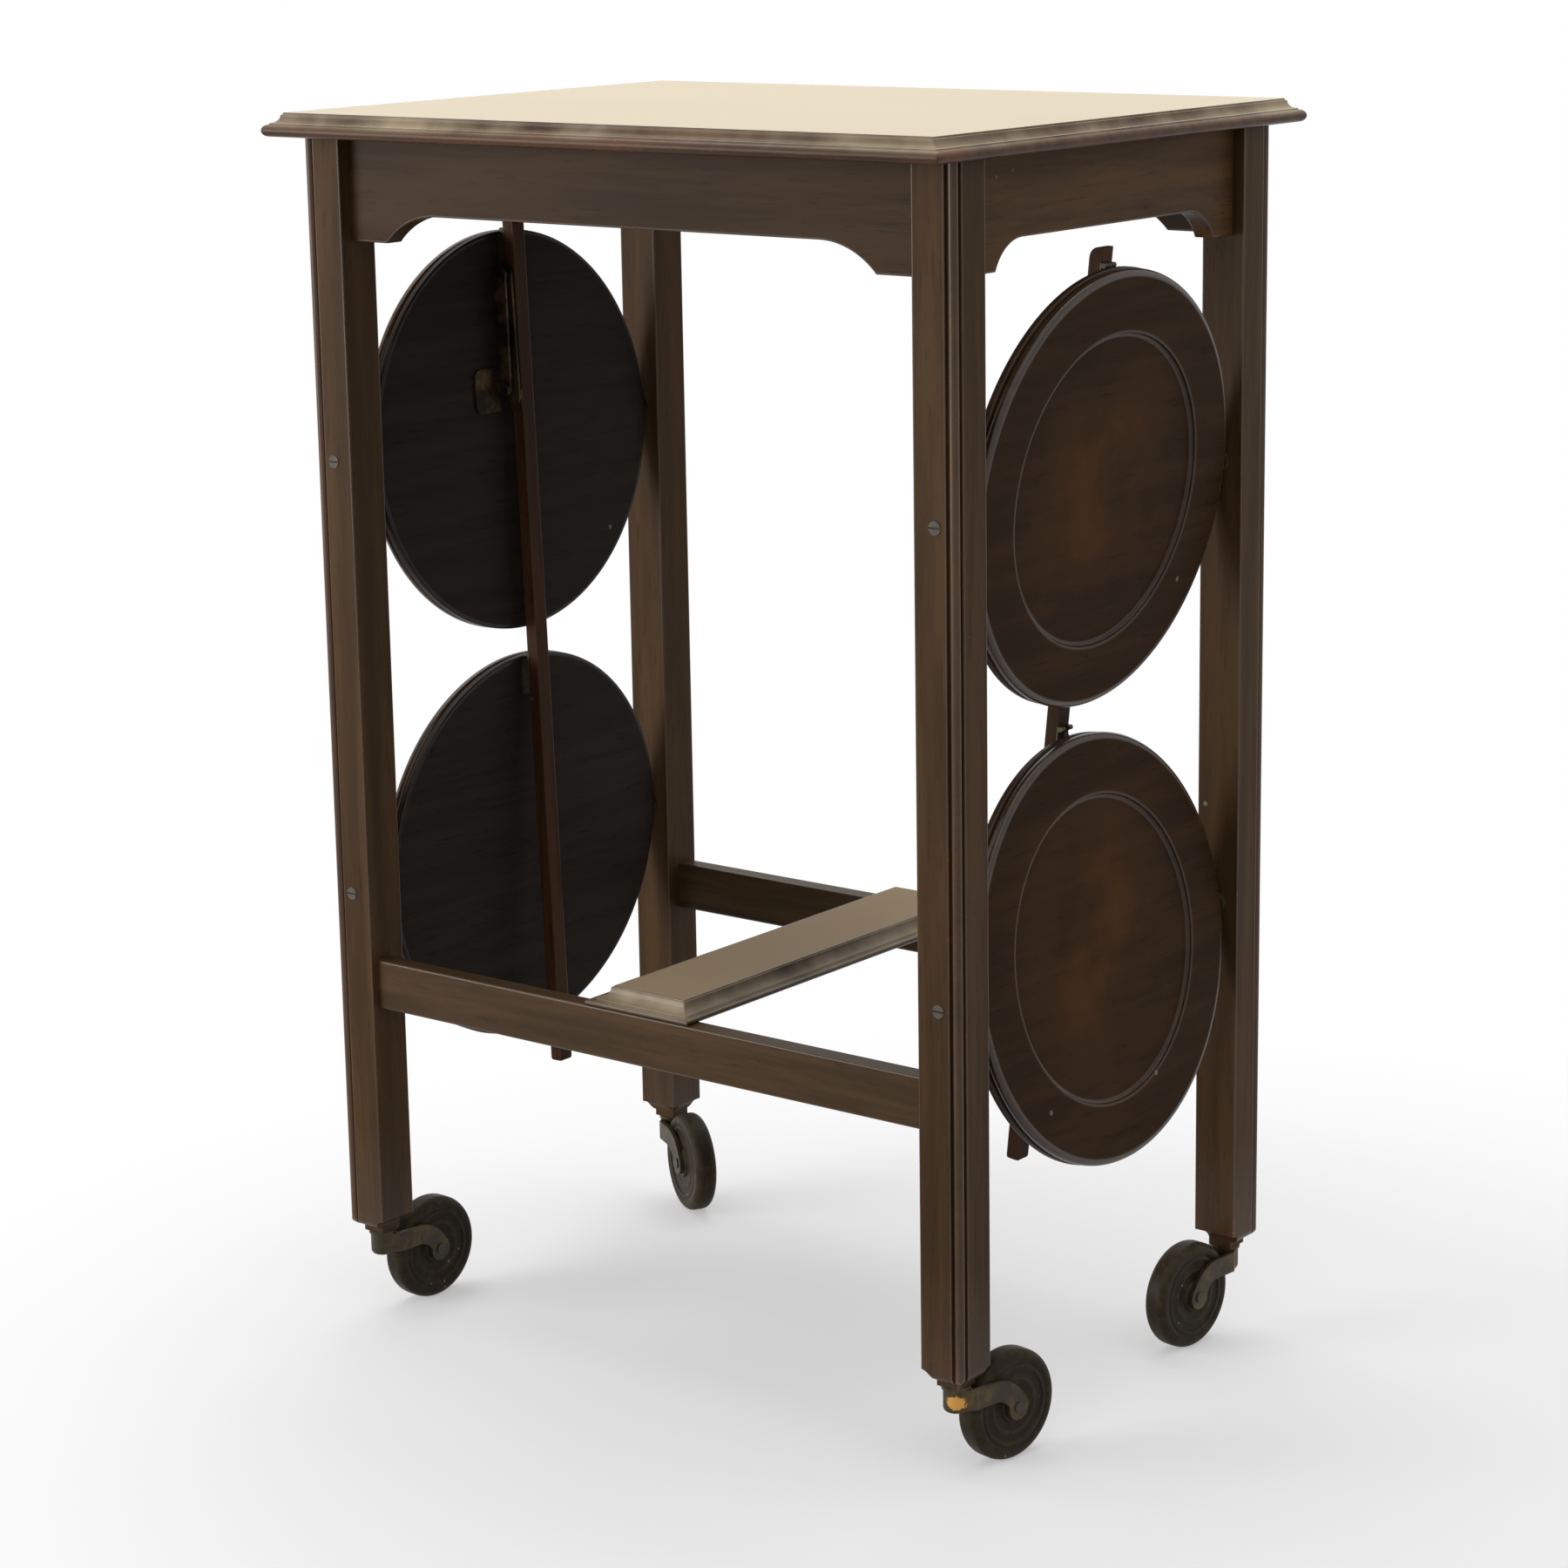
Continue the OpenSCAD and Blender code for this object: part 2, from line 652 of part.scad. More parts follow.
module stay_bracket(side, up) {
    base_y = cheek_lane - cheek_t - bracket_w + cheek_t;
    end_r = bracket_w / 2;
    color(brass) on_tray(side, upper_z, up) difference() {
        union() {
            translate([-tray_t / 2 - bracket_t, base_y, stay_lift - bracket_h / 2])
                cube([bracket_t, bracket_w, bracket_h]);
            translate([-stay_in, cheek_lane - cheek_t, stay_lift - stay_w / 2])
                cube([stay_in - tray_t / 2, cheek_t, stay_w]);
            translate([-stay_in, 0, stay_lift]) rod_y(stay_w / 2, cheek_lane - cheek_t, cheek_t);
            translate([-stay_in, 0, stay_lift]) rod_y(rivet_r, cheek_lane, stay_t + clear);
            translate([-stay_in, 0, stay_lift]) rod_y(rivet_head_r, cheek_lane - cheek_t - rivet_head, rivet_head);
        }
        for (s = [-1, 1]) translate([-tray_t / 2 - bracket_t - past, base_y + end_r / 2, stay_lift + s * bracket_h / 2 - s * end_r / 2])
            difference() {
                translate([0, -end_r / 2 - past, s > 0 ? 0 : -end_r / 2 - past])
                    cube([bracket_t + past, end_r / 2 + past, end_r / 2 + past]);
                rotate([0, 90, 0]) translate([0, 0, -past]) cylinder(r = end_r / 2, h = bracket_t + 3 * past);
            }
    }
}

// Places a strip of the stay with its foot at one pivot and its head at another
module on_stay(side, from, to) {
    on_side(side) translate([leg_x - from[0], 0, upper_z + from[1]])
        rotate([0, -head_angle(from, to), 0]) children();
}

module stay_arm(side, up, low) {
    color(brass) on_stay(side, stay_a(up), stay_k(up, low)) {
        difference() {
            strip(stay_arm_l, arm_lane, stay_t);
            rod_y(rivet_r + run_gap, arm_lane - stay_t - past, stay_t + 2 * past);
        }
        translate([0, 0, stay_arm_l]) rod_y(rivet_r, arm_lane, collar_l + clear + stay_t);
        translate([0, 0, stay_arm_l]) rod_y(rivet_head_r, arm_lane, collar_l);
        translate([0, 0, stay_arm_l]) rod_y(rivet_head_r, arm_lane - stay_t - rivet_head, rivet_head);
    }
}

module stay_link(side, up, low) {
    color(brass) on_stay(side, stay_b(up, low), stay_k(up, low)) {
        difference() {
            strip(stay_link_l, link_lane, stay_t);
            translate([0, 0, stay_link_l]) rod_y(rivet_r + run_gap, link_lane - stay_t - past, stay_t + 2 * past);
        }
    }
}

// Brass plate on the bar's side that faces the stay's foot
module stay_anchor(side, up, low) {
    color(brass) on_bar(side, up, low) translate([-bar_off - bar_w / 2, 0, -stay_reach]) {
        translate([-anchor_w / 2, -bar_t / 2 - anchor_t, -anchor_l + stay_w / 2])
            cube([anchor_w, anchor_t, anchor_l]);
        rod_y(rivet_r, -bar_t / 2 - anchor_t - stub_l, stub_l);
    }
}

// Puts a caster's own frame in place: origin on the swivel axis at z = 0, the wheel towards +X
module on_caster(sx, sy, heading) {
    translate([sx * leg_x, sy * leg_y, 0]) rotate([0, 0, heading]) children();
}

module socket(sx, sy) {
    color(brass) on_caster(sx, sy, 0) difference() {
        union() {
            translate([0, 0, foot_z - flange_t]) cylinder(r = flange_r, h = flange_t);
            translate([0, 0, foot_z]) cylinder(r = socket_r, h = socket_l);
        }
        translate([0, 0, foot_z - flange_t - past]) cylinder(r = stem_r + run_gap, h = socket_l + flange_t);
    }
}

// Side view of a horn's arm, x along the heading, y up
module horn_outline() {
    inner = horn_bend_r - horn_h / 2;
    outer = horn_bend_r + horn_h / 2;
    translate([0, crown_top - horn_h]) square([horn_bend_x, horn_h]);
    difference() {
        intersection() {
            translate([horn_bend_x, horn_bend_z]) circle(r = outer);
            translate([horn_bend_x, hub_z]) square(outer + past);
        }
        translate([horn_bend_x, horn_bend_z]) circle(r = inner);
    }
    translate([trail, hub_z]) circle(r = horn_end_r);
}

// Half section of the housing around the stem, with a rounded lower rim
module boss_section() {
    difference() {
        translate([0, crown_top - boss_h]) square([boss_r, boss_h]);
        difference() {
            translate([boss_r - boss_round, crown_top - boss_h - past]) square(boss_round + past);
            translate([boss_r - boss_round, crown_top - boss_h + boss_round]) circle(r = boss_round);
        }
    }
}

module horn(sx, sy, heading) {
    color(brass) on_caster(sx, sy, heading) difference() {
        union() {
            rotate_extrude() boss_section();
            translate([0, 0, crown_top - horn_h]) linear_extrude(horn_h)
                polygon([[0, -boss_r], [crown_flare, -arm_out], [crown_flare, arm_out], [0, boss_r]]);
            for (s = [-1, 1])
                translate([0, s * (arm_in + horn_t / 2) + horn_t / 2, 0]) rotate([90, 0, 0])
                    linear_extrude(horn_t) difference() {
                        horn_outline();
                        translate([-past, floor_z]) square([crown_flare - past / 2 + past, total_h]);
                    }
            horn_stem();
        }
        translate([trail, 0, hub_z]) {
            rod_y(wheel_r + wheel_pocket, -arm_in, 2 * arm_in);
            rod_y(axle_r + seat_gap, -arm_out - past, 2 * (arm_out + past));
        }
    }
}

// The stem stops short of the socket's blind end
module horn_stem() {
    translate([0, 0, crown_top - past]) cylinder(r = stem_r, h = socket_l - 4);
}

module axle(sx, sy, heading) {
    color(steel) on_caster(sx, sy, heading) translate([trail, 0, hub_z]) {
        rod_y(axle_r, -arm_out, 2 * arm_out);
        for (s = [-1, 1]) translate([0, s * (arm_out + rivet_head / 2), 0])
            rod_y(axle_r + 1, -rivet_head / 2, rivet_head);
    }
}

// Half section of a wheel, x from the axle, y along it
module wheel_section() {
    half = wheel_w / 2;
    difference() {
        union() {
            translate([0, -hub_w / 2]) square([hub_r, hub_w]);
            translate([0, -half]) square([wheel_r, wheel_w]);
        }
        for (s = [0, 1]) mirror([0, s]) {
            translate([hub_r, half - web_in]) square([web_r - hub_r, web_in + past]);
            translate([web_r + 2, half]) circle(r = tread_groove);
            difference() {
                translate([wheel_r - tread_r, half - tread_r]) square(tread_r + past);
                translate([wheel_r - tread_r, half - tread_r]) circle(r = tread_r);
            }
        }
    }
}

module wheel(sx, sy, heading) {
    color(wheel_black) on_caster(sx, sy, heading) translate([trail, 0, hub_z]) difference() {
        rotate([90, 0, 0]) rotate_extrude() wheel_section();
        rod_y(axle_r + run_gap, -hub_w, 2 * hub_w);
    }
}

top_board();
leg(-1, -1);  // leg_front_left
leg(1, -1);  // leg_front_right
leg(-1, 1);  // leg_back_left
leg(1, 1);  // leg_back_right
apron_along_x(-1);  // apron_front
apron_along_x(1);  // apron_back
apron_along_y(-1);  // apron_left
apron_along_y(1);  // apron_right
rail(-1);  // rail_front
rail(1);  // rail_back
shelf_board();
top_blocks();
top_screws();
pivot_screws(-1);  // pivot_screws_left
pivot_screws(1);  // pivot_screws_right
pivot_washers();
tray(-1, upper_z, tilt_ul);  // tray_upper_left
tray(-1, lower_z, tilt_ll);  // tray_lower_left
tray(1, upper_z, tilt_ur);  // tray_upper_right
tray(1, lower_z, tilt_lr);  // tray_lower_right
tray_leaf(-1, upper_z, tilt_ul);  // tray_leaf_upper_left
tray_leaf(-1, lower_z, tilt_ll);  // tray_leaf_lower_left
tray_leaf(1, upper_z, tilt_ur);  // tray_leaf_upper_right
tray_leaf(1, lower_z, tilt_lr);  // tray_leaf_lower_right
link_bar(-1, tilt_ul, tilt_ll);  // link_bar_left
link_bar(1, tilt_ur, tilt_lr);  // link_bar_right
bar_leaves(-1, tilt_ul, tilt_ll);  // bar_leaves_left
bar_leaves(1, tilt_ur, tilt_lr);  // bar_leaves_right
hinge_pin(-1, tilt_ul, tilt_ll);  // hinge_pin_left
hinge_pin(1, tilt_ur, tilt_lr);  // hinge_pin_right
stay_bracket(-1, tilt_ul);  // stay_bracket_left
stay_bracket(1, tilt_ur);  // stay_bracket_right
stay_arm(-1, tilt_ul, tilt_ll);  // stay_arm_left
stay_arm(1, tilt_ur, tilt_lr);  // stay_arm_right
stay_link(-1, tilt_ul, tilt_ll);  // stay_link_left
stay_link(1, tilt_ur, tilt_lr);  // stay_link_right
stay_anchor(-1, tilt_ul, tilt_ll);  // stay_anchor_left
stay_anchor(1, tilt_ur, tilt_lr);  // stay_anchor_right
socket(-1, -1);  // socket_front_left
socket(1, -1);  // socket_front_right
socket(-1, 1);  // socket_back_left
socket(1, 1);  // socket_back_right
horn(-1, -1, heading_fl);  // horn_front_left
horn(1, -1, heading_fr);  // horn_front_right
horn(-1, 1, heading_bl);  // horn_back_left
horn(1, 1, heading_br);  // horn_back_right
axle(-1, -1, heading_fl);  // axle_front_left
axle(1, -1, heading_fr);  // axle_front_right
axle(-1, 1, heading_bl);  // axle_back_left
axle(1, 1, heading_br);  // axle_back_right
wheel(-1, -1, heading_fl);  // wheel_front_left
wheel(1, -1, heading_fr);  // wheel_front_right
wheel(-1, 1, heading_bl);  // wheel_back_left
wheel(1, 1, heading_br);  // wheel_back_right
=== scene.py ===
"""Looks of a dark varnished serving trolley with four folding trays.

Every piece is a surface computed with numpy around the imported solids, in metres and in their frame:
the origin is the centre of the table top, +Z is up and the front looks towards -Y.
"""

import json
import logging
import math
from dataclasses import dataclass, field
from enum import Enum
from typing import Any, Callable

import bpy
import numpy as np
from mathutils import Matrix, Vector

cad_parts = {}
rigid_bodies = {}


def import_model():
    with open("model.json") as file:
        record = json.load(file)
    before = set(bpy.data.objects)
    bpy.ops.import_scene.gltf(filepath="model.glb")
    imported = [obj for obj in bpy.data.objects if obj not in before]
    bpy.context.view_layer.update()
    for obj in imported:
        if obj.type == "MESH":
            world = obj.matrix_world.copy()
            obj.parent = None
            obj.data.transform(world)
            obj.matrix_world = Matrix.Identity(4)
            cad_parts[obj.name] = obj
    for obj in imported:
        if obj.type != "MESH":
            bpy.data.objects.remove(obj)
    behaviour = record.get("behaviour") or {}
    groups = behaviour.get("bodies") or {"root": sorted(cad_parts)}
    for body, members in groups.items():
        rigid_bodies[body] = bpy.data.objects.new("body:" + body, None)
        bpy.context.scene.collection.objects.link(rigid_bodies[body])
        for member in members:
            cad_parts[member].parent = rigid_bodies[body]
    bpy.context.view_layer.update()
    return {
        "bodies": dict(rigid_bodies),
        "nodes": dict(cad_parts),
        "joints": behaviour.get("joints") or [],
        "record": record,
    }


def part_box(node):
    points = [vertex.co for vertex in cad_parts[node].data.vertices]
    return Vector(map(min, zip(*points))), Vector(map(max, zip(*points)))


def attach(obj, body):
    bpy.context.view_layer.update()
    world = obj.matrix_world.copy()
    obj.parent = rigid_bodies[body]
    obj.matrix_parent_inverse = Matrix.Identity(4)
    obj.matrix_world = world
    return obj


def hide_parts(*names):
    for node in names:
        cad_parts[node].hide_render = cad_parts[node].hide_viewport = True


LOG = logging.getLogger("trolley")
MM = 0.001
Colour = tuple[float, float, float]
Array = np.ndarray


class Axis(Enum):
    """The direction that a board's grain or a casting's axis runs in."""

    X = 0
    Y = 1
    Z = 2


def arc(centre: tuple[float, float], radius: float, start: float, end: float, steps: int = 7) -> Array:
    """Points on a circle: centre + radius * (cos a, sin a), with a running evenly from start to end.

    Args:
        centre: the circle's centre.
        radius: its radius, in the centre's units.
        start: the first angle, in degrees.
        end: the last angle, in degrees.
        steps: how many points there are.

    Returns:
        An array of steps rows and two columns.
    """
    angle = np.radians(np.linspace(start, end, steps))
    return np.stack([centre[0] + radius * np.cos(angle), centre[1] + radius * np.sin(angle)], -1)


def rounded_rectangle(
    half_a: Array, half_b: Array, radius: Array, support: float = 0.5 * MM, steps: int = 5
) -> tuple[Array, Array]:
    """Rings of rectangles with round corners: each corner is an arc of the radius about (a - r, b - r).

    A point a little way along each flat keeps the flats' shading flat.

    Args:
        half_a: half the width of each ring.
        half_b: half the height of each ring.
        radius: the corner radius of each ring.
        support: the distance from an arc to its support point.
        steps: points on each corner's arc.

    Returns:
        The points, rings by points by two, and the share of wear at each point, rings by points.
    """
    half_a, half_b, radius = np.broadcast_arrays(
        np.atleast_1d(half_a), np.atleast_1d(half_b), np.atleast_1d(radius)
    )
    columns, wear = [], []
    for quadrant in range(4):
        angle = np.radians(90.0 * quadrant + np.linspace(0, 90, steps))
        sign_a = 1 if quadrant in (0, 3) else -1
        sign_b = 1 if quadrant in (0, 1) else -1
        x = sign_a * (half_a - radius)[:, None] + radius[:, None] * np.cos(angle)
        y = sign_b * (half_b - radius)[:, None] + radius[:, None] * np.sin(angle)
        flat_in, flat_out = (half_b, half_a) if quadrant in (0, 2) else (half_a, half_b)
        before = np.minimum(support, 0.5 * (flat_in - radius))
        after = np.minimum(support, 0.5 * (flat_out - radius))
        first = np.stack([x[:, 0] + before * np.sin(angle[0]), y[:, 0] - before * np.cos(angle[0])], -1)
        last = np.stack([x[:, -1] - after * np.sin(angle[-1]), y[:, -1] + after * np.cos(angle[-1])], -1)
        columns += [first[:, None], np.stack([x, y], -1), last[:, None]]
        wear += [0.0] + [1.0] * steps + [0.0]
    points = np.concatenate(columns, 1)
    return points, np.broadcast_to(np.array(wear), points.shape[:2])


def lathe(profile: Array, segments: int, place: Callable[[Array], Array]) -> Array:
    """Rings of a turned surface: (h, r cos a, r sin a) for each profile point (r, h), then put in place.

    Args:
        profile: radius and height of each ring.
        segments: points round each ring.
        place: maps points from the turning axis along X to the object's frame.

    Returns:
        The rings, rings by segments by three.
    """
    angle = np.linspace(0, 2 * np.pi, segments, endpoint=False)
    radius, height = profile[:, :1], profile[:, 1:2]
    rings = np.stack(
        [np.broadcast_to(height, (len(profile), segments)), radius * np.cos(angle), radius * np.sin(angle)], -1
    )
    return place(rings)


@dataclass
class Shell:
    """A closed surface through rings of equal length, with a share of wear and a share of tint at each point: a
    painted highlight on mouldings, a redder middle on trays.

    From the ring back_from on, the faces have the piece's second finish.
    """

    rings: Array
    wear: Array | None = None
    glow: Array | None = None
    back_from: int = 1_000_000

    def mark(self, kind: str) -> Array:
        """The values of one kind of mark, one for each vertex."""
        value = getattr(self, kind)
        value = np.zeros(self.rings.shape[:2]) if value is None else value
        return np.broadcast_to(value, self.rings.shape[:2]).reshape(-1)

    def finish_of_faces(self) -> Array:
        """The index of the finish of each face, in the order of the faces."""
        rows, columns = self.rings.shape[:2]
        side = np.repeat(np.arange(rows - 1) >= self.back_from, columns)
        return np.concatenate([side, [False, self.back_from < rows]]).astype(np.int32)

    def faces(self, offset: int) -> list[list[int]]:
        """Quads between neighbouring rings and one face at each end, all facing outwards.

        Args:
            offset: the index of the shell's first vertex in its mesh.

        Returns:
            The faces as lists of vertex indices.
        """
        rows, columns = self.rings.shape[:2]
        index = np.arange(rows * columns).reshape(rows, columns)
        following = np.roll(index, -1, axis=1)
        quads = np.stack([index[:-1], following[:-1], following[1:], index[1:]], -1).reshape(-1, 4)
        points = self.rings.reshape(-1, 3) - self.rings.reshape(-1, 3).mean(0)
        a, b, c, d = (points[quads[:, k]] for k in range(4))
        volume = np.einsum("ij,ij->", a, np.cross(b, c)) + np.einsum("ij,ij->", a, np.cross(c, d))
        for ring, sign in ((index[0], -1), (index[-1], 1)):
            p = points[ring]
            hub = np.broadcast_to(p[0], p.shape)
            volume += sign * np.einsum("ij,ij->", hub, np.cross(p, np.roll(p, -1, axis=0)))
        faces = quads.tolist() + [index[0][::-1].tolist(), index[-1].tolist()]
        faces = faces if volume > 0 else [face[::-1] for face in faces]
        return [[i + offset for i in face] for face in faces]


def add_piece(
    name: str,
    shells: list[Shell],
    body: str,
    materials: list[bpy.types.Material],
    nodes: tuple[str, ...] = (),
) -> bpy.types.Object:
    """Makes one object of its shells, dresses it and lets it ride on its body.

    Args:
        name: the object's name.
        shells: its closed surfaces.
        body: the body that it moves with.
        materials: its finish, and the finish of its back if that differs.
        nodes: the solids that it stands for.

    Returns:
        The new object.
    """
    vertices, faces = [], []
    for shell in shells:
        faces += shell.faces(sum(len(v) for v in vertices))
        vertices.append(shell.rings.reshape(-1, 3))
    mesh = bpy.data.meshes.new(name)
    mesh.from_pydata(np.concatenate(vertices), [], faces)
    mesh.polygons.foreach_set("use_smooth", np.ones(len(mesh.polygons), bool))
    mesh.set_sharp_from_angle(angle=math.radians(42))
    for kind in ("wear", "glow"):
        values = np.concatenate([shell.mark(kind) for shell in shells]).astype(np.float32)
        mesh.attributes.new(kind, "FLOAT", "POINT").data.foreach_set("value", values)
    piece = bpy.data.objects.new(name, mesh)
    bpy.context.scene.collection.objects.link(piece)
    for material in materials:
        mesh.materials.append(material)
    mesh.polygons.foreach_set("material_index", np.concatenate([shell.finish_of_faces() for shell in shells]))
    mesh.update()
    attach(piece, body)
    if nodes:
        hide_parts(*nodes)
    LOG.info("%s: %d vertices on %s", name, len(mesh.vertices), body)
    return piece


class Shader:
    """Short calls for building a node tree."""

    def __init__(self, tree: bpy.types.NodeTree) -> None:
        """Keeps the tree that the calls build in."""
        self.tree = tree

    def node(self, kind: str, inputs: dict[Any, Any] | None = None, **settings: Any) -> bpy.types.Node:
        """Adds a node.

        Args:
            kind: the node's type name.
            inputs: values or sockets by input name or index.
            settings: the node's own properties.

        Returns:
            The node.
        """
        node = self.tree.nodes.new(kind)
        for key, value in settings.items():
            setattr(node, key, value)
        for key, value in (inputs or {}).items():
            if isinstance(value, bpy.types.NodeSocket):
                self.tree.links.new(value, node.inputs[key])
            else:
                node.inputs[key].default_value = value
        return node

    def math(self, operation: str, *values: Any, clamp: bool = False) -> bpy.types.NodeSocket:
        """One Math node, fed with numbers or sockets. Returns its output."""
        node = self.node("ShaderNodeMath", dict(enumerate(values)), operation=operation, use_clamp=clamp)
        return node.outputs[0]

    def vector(self, operation: str, *values: Any) -> bpy.types.Node:
        """One Vector Math node, fed with vectors or sockets. Returns the node."""
        return self.node("ShaderNodeVectorMath", dict(enumerate(values)), operation=operation)

    def feed(self, node: bpy.types.Node, **values: bpy.types.NodeSocket) -> None:
        """Links each socket to the node's input of that name, with underscores for spaces."""
        for key, value in values.items():
            self.tree.links.new(value, node.inputs[key.replace("_", " ")])

    def mark(self, kind: str) -> bpy.types.NodeSocket:
        """The pieces' own wear, or their share of painted highlight and tint, as the kind asks. Returns its
        value.
        """
        return self.node("ShaderNodeAttribute", attribute_name=kind).outputs["Fac"]

    def blend(self, factor: Any, first: Any, second: Any, mode: str = "MIX") -> bpy.types.NodeSocket:
        """Mixes two colours by a factor. Returns the mixed colour."""
        node = self.tree.nodes.new("ShaderNodeMix")
        node.data_type, node.blend_type = "RGBA", mode
        for index, value in ((0, factor), (6, first), (7, second)):
            if isinstance(value, bpy.types.NodeSocket):
                self.tree.links.new(value, node.inputs[index])
            else:
                node.inputs[index].default_value = (*value, 1.0) if isinstance(value, tuple) else value
        return node.outputs[2]

    def ramp(self, value: Any, low: float, high: float) -> bpy.types.NodeSocket:
        """Smooth step from 0 at low to 1 at high. Returns the stepped value."""
        inputs = {"Value": value, "From Min": low, "From Max": high}
        return self.node("ShaderNodeMapRange", inputs, interpolation_type="SMOOTHSTEP").outputs[0]

    def noise(
        self, vector: Any, scale: float, detail: float = 3.0, roughness: float = 0.5
    ) -> bpy.types.NodeSocket:
        """Noise texture of a vector. Returns its value."""
        inputs = {"Vector": vector, "Scale": scale, "Detail": detail, "Roughness": roughness}
        return self.node("ShaderNodeTexNoise", inputs).outputs[0]

    def stretched(self, scale: tuple[float, float, float]) -> bpy.types.NodeSocket:
        """Object coordinates, scaled along each axis. Returns the vector."""
        place = self.node("ShaderNodeTexCoord").outputs["Object"]
        return self.node("ShaderNodeMapping", {"Vector": place, "Scale": scale}).outputs[0]


def new_group(
    name: str, inputs: dict[str, tuple[str, float | None]], outputs: list[str]
) -> tuple[Any, Any, Shader]:
    """Starts a node group.

    Args:
        name: the group's name.
        inputs: socket type and starting value by input name.
        outputs: names of the output values.

    Returns:
        The group's input node, its output node and a Shader to build with.
    """
    tree = bpy.data.node_groups.new(name, "ShaderNodeTree")
    for key, (kind, value) in inputs.items():
        socket = tree.interface.new_socket(key, in_out="INPUT", socket_type=kind)
        if value is not None:
            socket.default_value = value
    for key in outputs:
        tree.interface.new_socket(key, in_out="OUTPUT", socket_type="NodeSocketFloat")
    return tree.nodes.new("NodeGroupInput"), tree.nodes.new("NodeGroupOutput"), Shader(tree)


def new_material(name: str) -> tuple[bpy.types.Material, Shader, bpy.types.Node]:
    """Starts a material. Returns it, a Shader to build with and its Principled node."""
    material = bpy.data.materials.new(name)
    material.use_nodes = True
    return material, Shader(material.node_tree), material.node_tree.nodes["Principled BSDF"]


VECTOR = ("NodeSocketVector", None)


def value_input(start: float) -> tuple[str, float]:
    """A number socket and its starting value."""
    return ("NodeSocketFloat", start)


class Effects:
    """Node groups that several finishes share."""

    def __init__(self) -> None:
        """Builds the groups once."""
        self.grain = self._grain()
        self.wear = self._wear()
        self.specks = self._specks()

    def _grain(self) -> bpy.types.NodeTree:
        """Wood figure from noise drawn out along the grain. Returns the group."""
        source, sink, s = new_group("wood_grain", {"Vector": VECTOR}, ["Figure", "Pores", "Cloud"])
        vector = source.outputs["Vector"]
        bend = s.node("ShaderNodeTexNoise", {"Vector": vector, "Scale": 0.6, "Detail": 2.0}).outputs["Color"]
        bent = s.vector("MULTIPLY", bend, (0.5, 0.5, 0.5)).outputs[0]
        bent = s.vector("ADD", vector, bent).outputs[0]
        figure = s.ramp(s.noise(bent, 2.2, 6.0, 0.62), 0.36, 0.66)
        pores = s.ramp(s.noise(bent, 16.0, 3.0, 0.6), 0.60, 0.70)
        cloud = s.ramp(s.noise(vector, 0.35, 3.0, 0.5), 0.38, 0.64)
        s.feed(sink, Figure=figure, Pores=pores, Cloud=cloud)
        return s.tree

    def _wear(self) -> bpy.types.NodeTree:
        """Worn arrises: the piece's wear, broken up by noise. Returns the group."""
        inputs = {"Vector": VECTOR, "Wear": value_input(0.0), "Amount": value_input(0.5)}
        source, sink, s = new_group("edge_wear", inputs, ["Rubbed", "Bare"])
        broad = s.noise(source.outputs["Vector"], 22.0, 4.0, 0.6)
        fine = s.noise(source.outputs["Vector"], 240.0, 3.0, 0.65)
        mixed = s.math("ADD", s.math("MULTIPLY", broad, 0.6), s.math("MULTIPLY", fine, 0.4))
        reach = s.math("MULTIPLY", source.outputs["Wear"], source.outputs["Amount"])
        level = s.math("ADD", mixed, s.math("MULTIPLY", reach, 0.42))
        shown = s.math("GREATER_THAN", source.outputs["Wear"], 0.02)
        rubbed = s.math("MULTIPLY", s.ramp(level, 0.56, 0.86), shown)
        bare = s.math("MULTIPLY", s.ramp(level, 0.80, 0.90), shown)
        s.feed(sink, Rubbed=rubbed, Bare=bare)
        return s.tree

    def _specks(self) -> bpy.types.NodeTree:
        """Rare small specks: cells whose centre is near, and whose random value is high. Returns the group."""
        inputs = {"Vector": VECTOR, "Scale": value_input(90.0), "Share": value_input(0.03)}
        source, sink, s = new_group("specks", inputs, ["Mask"])
        cell = s.node(
            "ShaderNodeTexVoronoi", {"Vector": source.outputs["Vector"], "Scale": source.outputs["Scale"]}
        )
        chance = s.node("ShaderNodeSeparateColor", {0: cell.outputs["Color"]}).outputs[0]
        limit = s.math("SUBTRACT", 1.0, source.outputs["Share"])
        chosen = s.math("GREATER_THAN", chance, limit)
        near = s.math("SUBTRACT", 1.0, s.ramp(cell.outputs["Distance"], 0.10, 0.24))
        s.tree.links.new(s.math("MULTIPLY", chosen, near), sink.inputs["Mask"])
        return s.tree


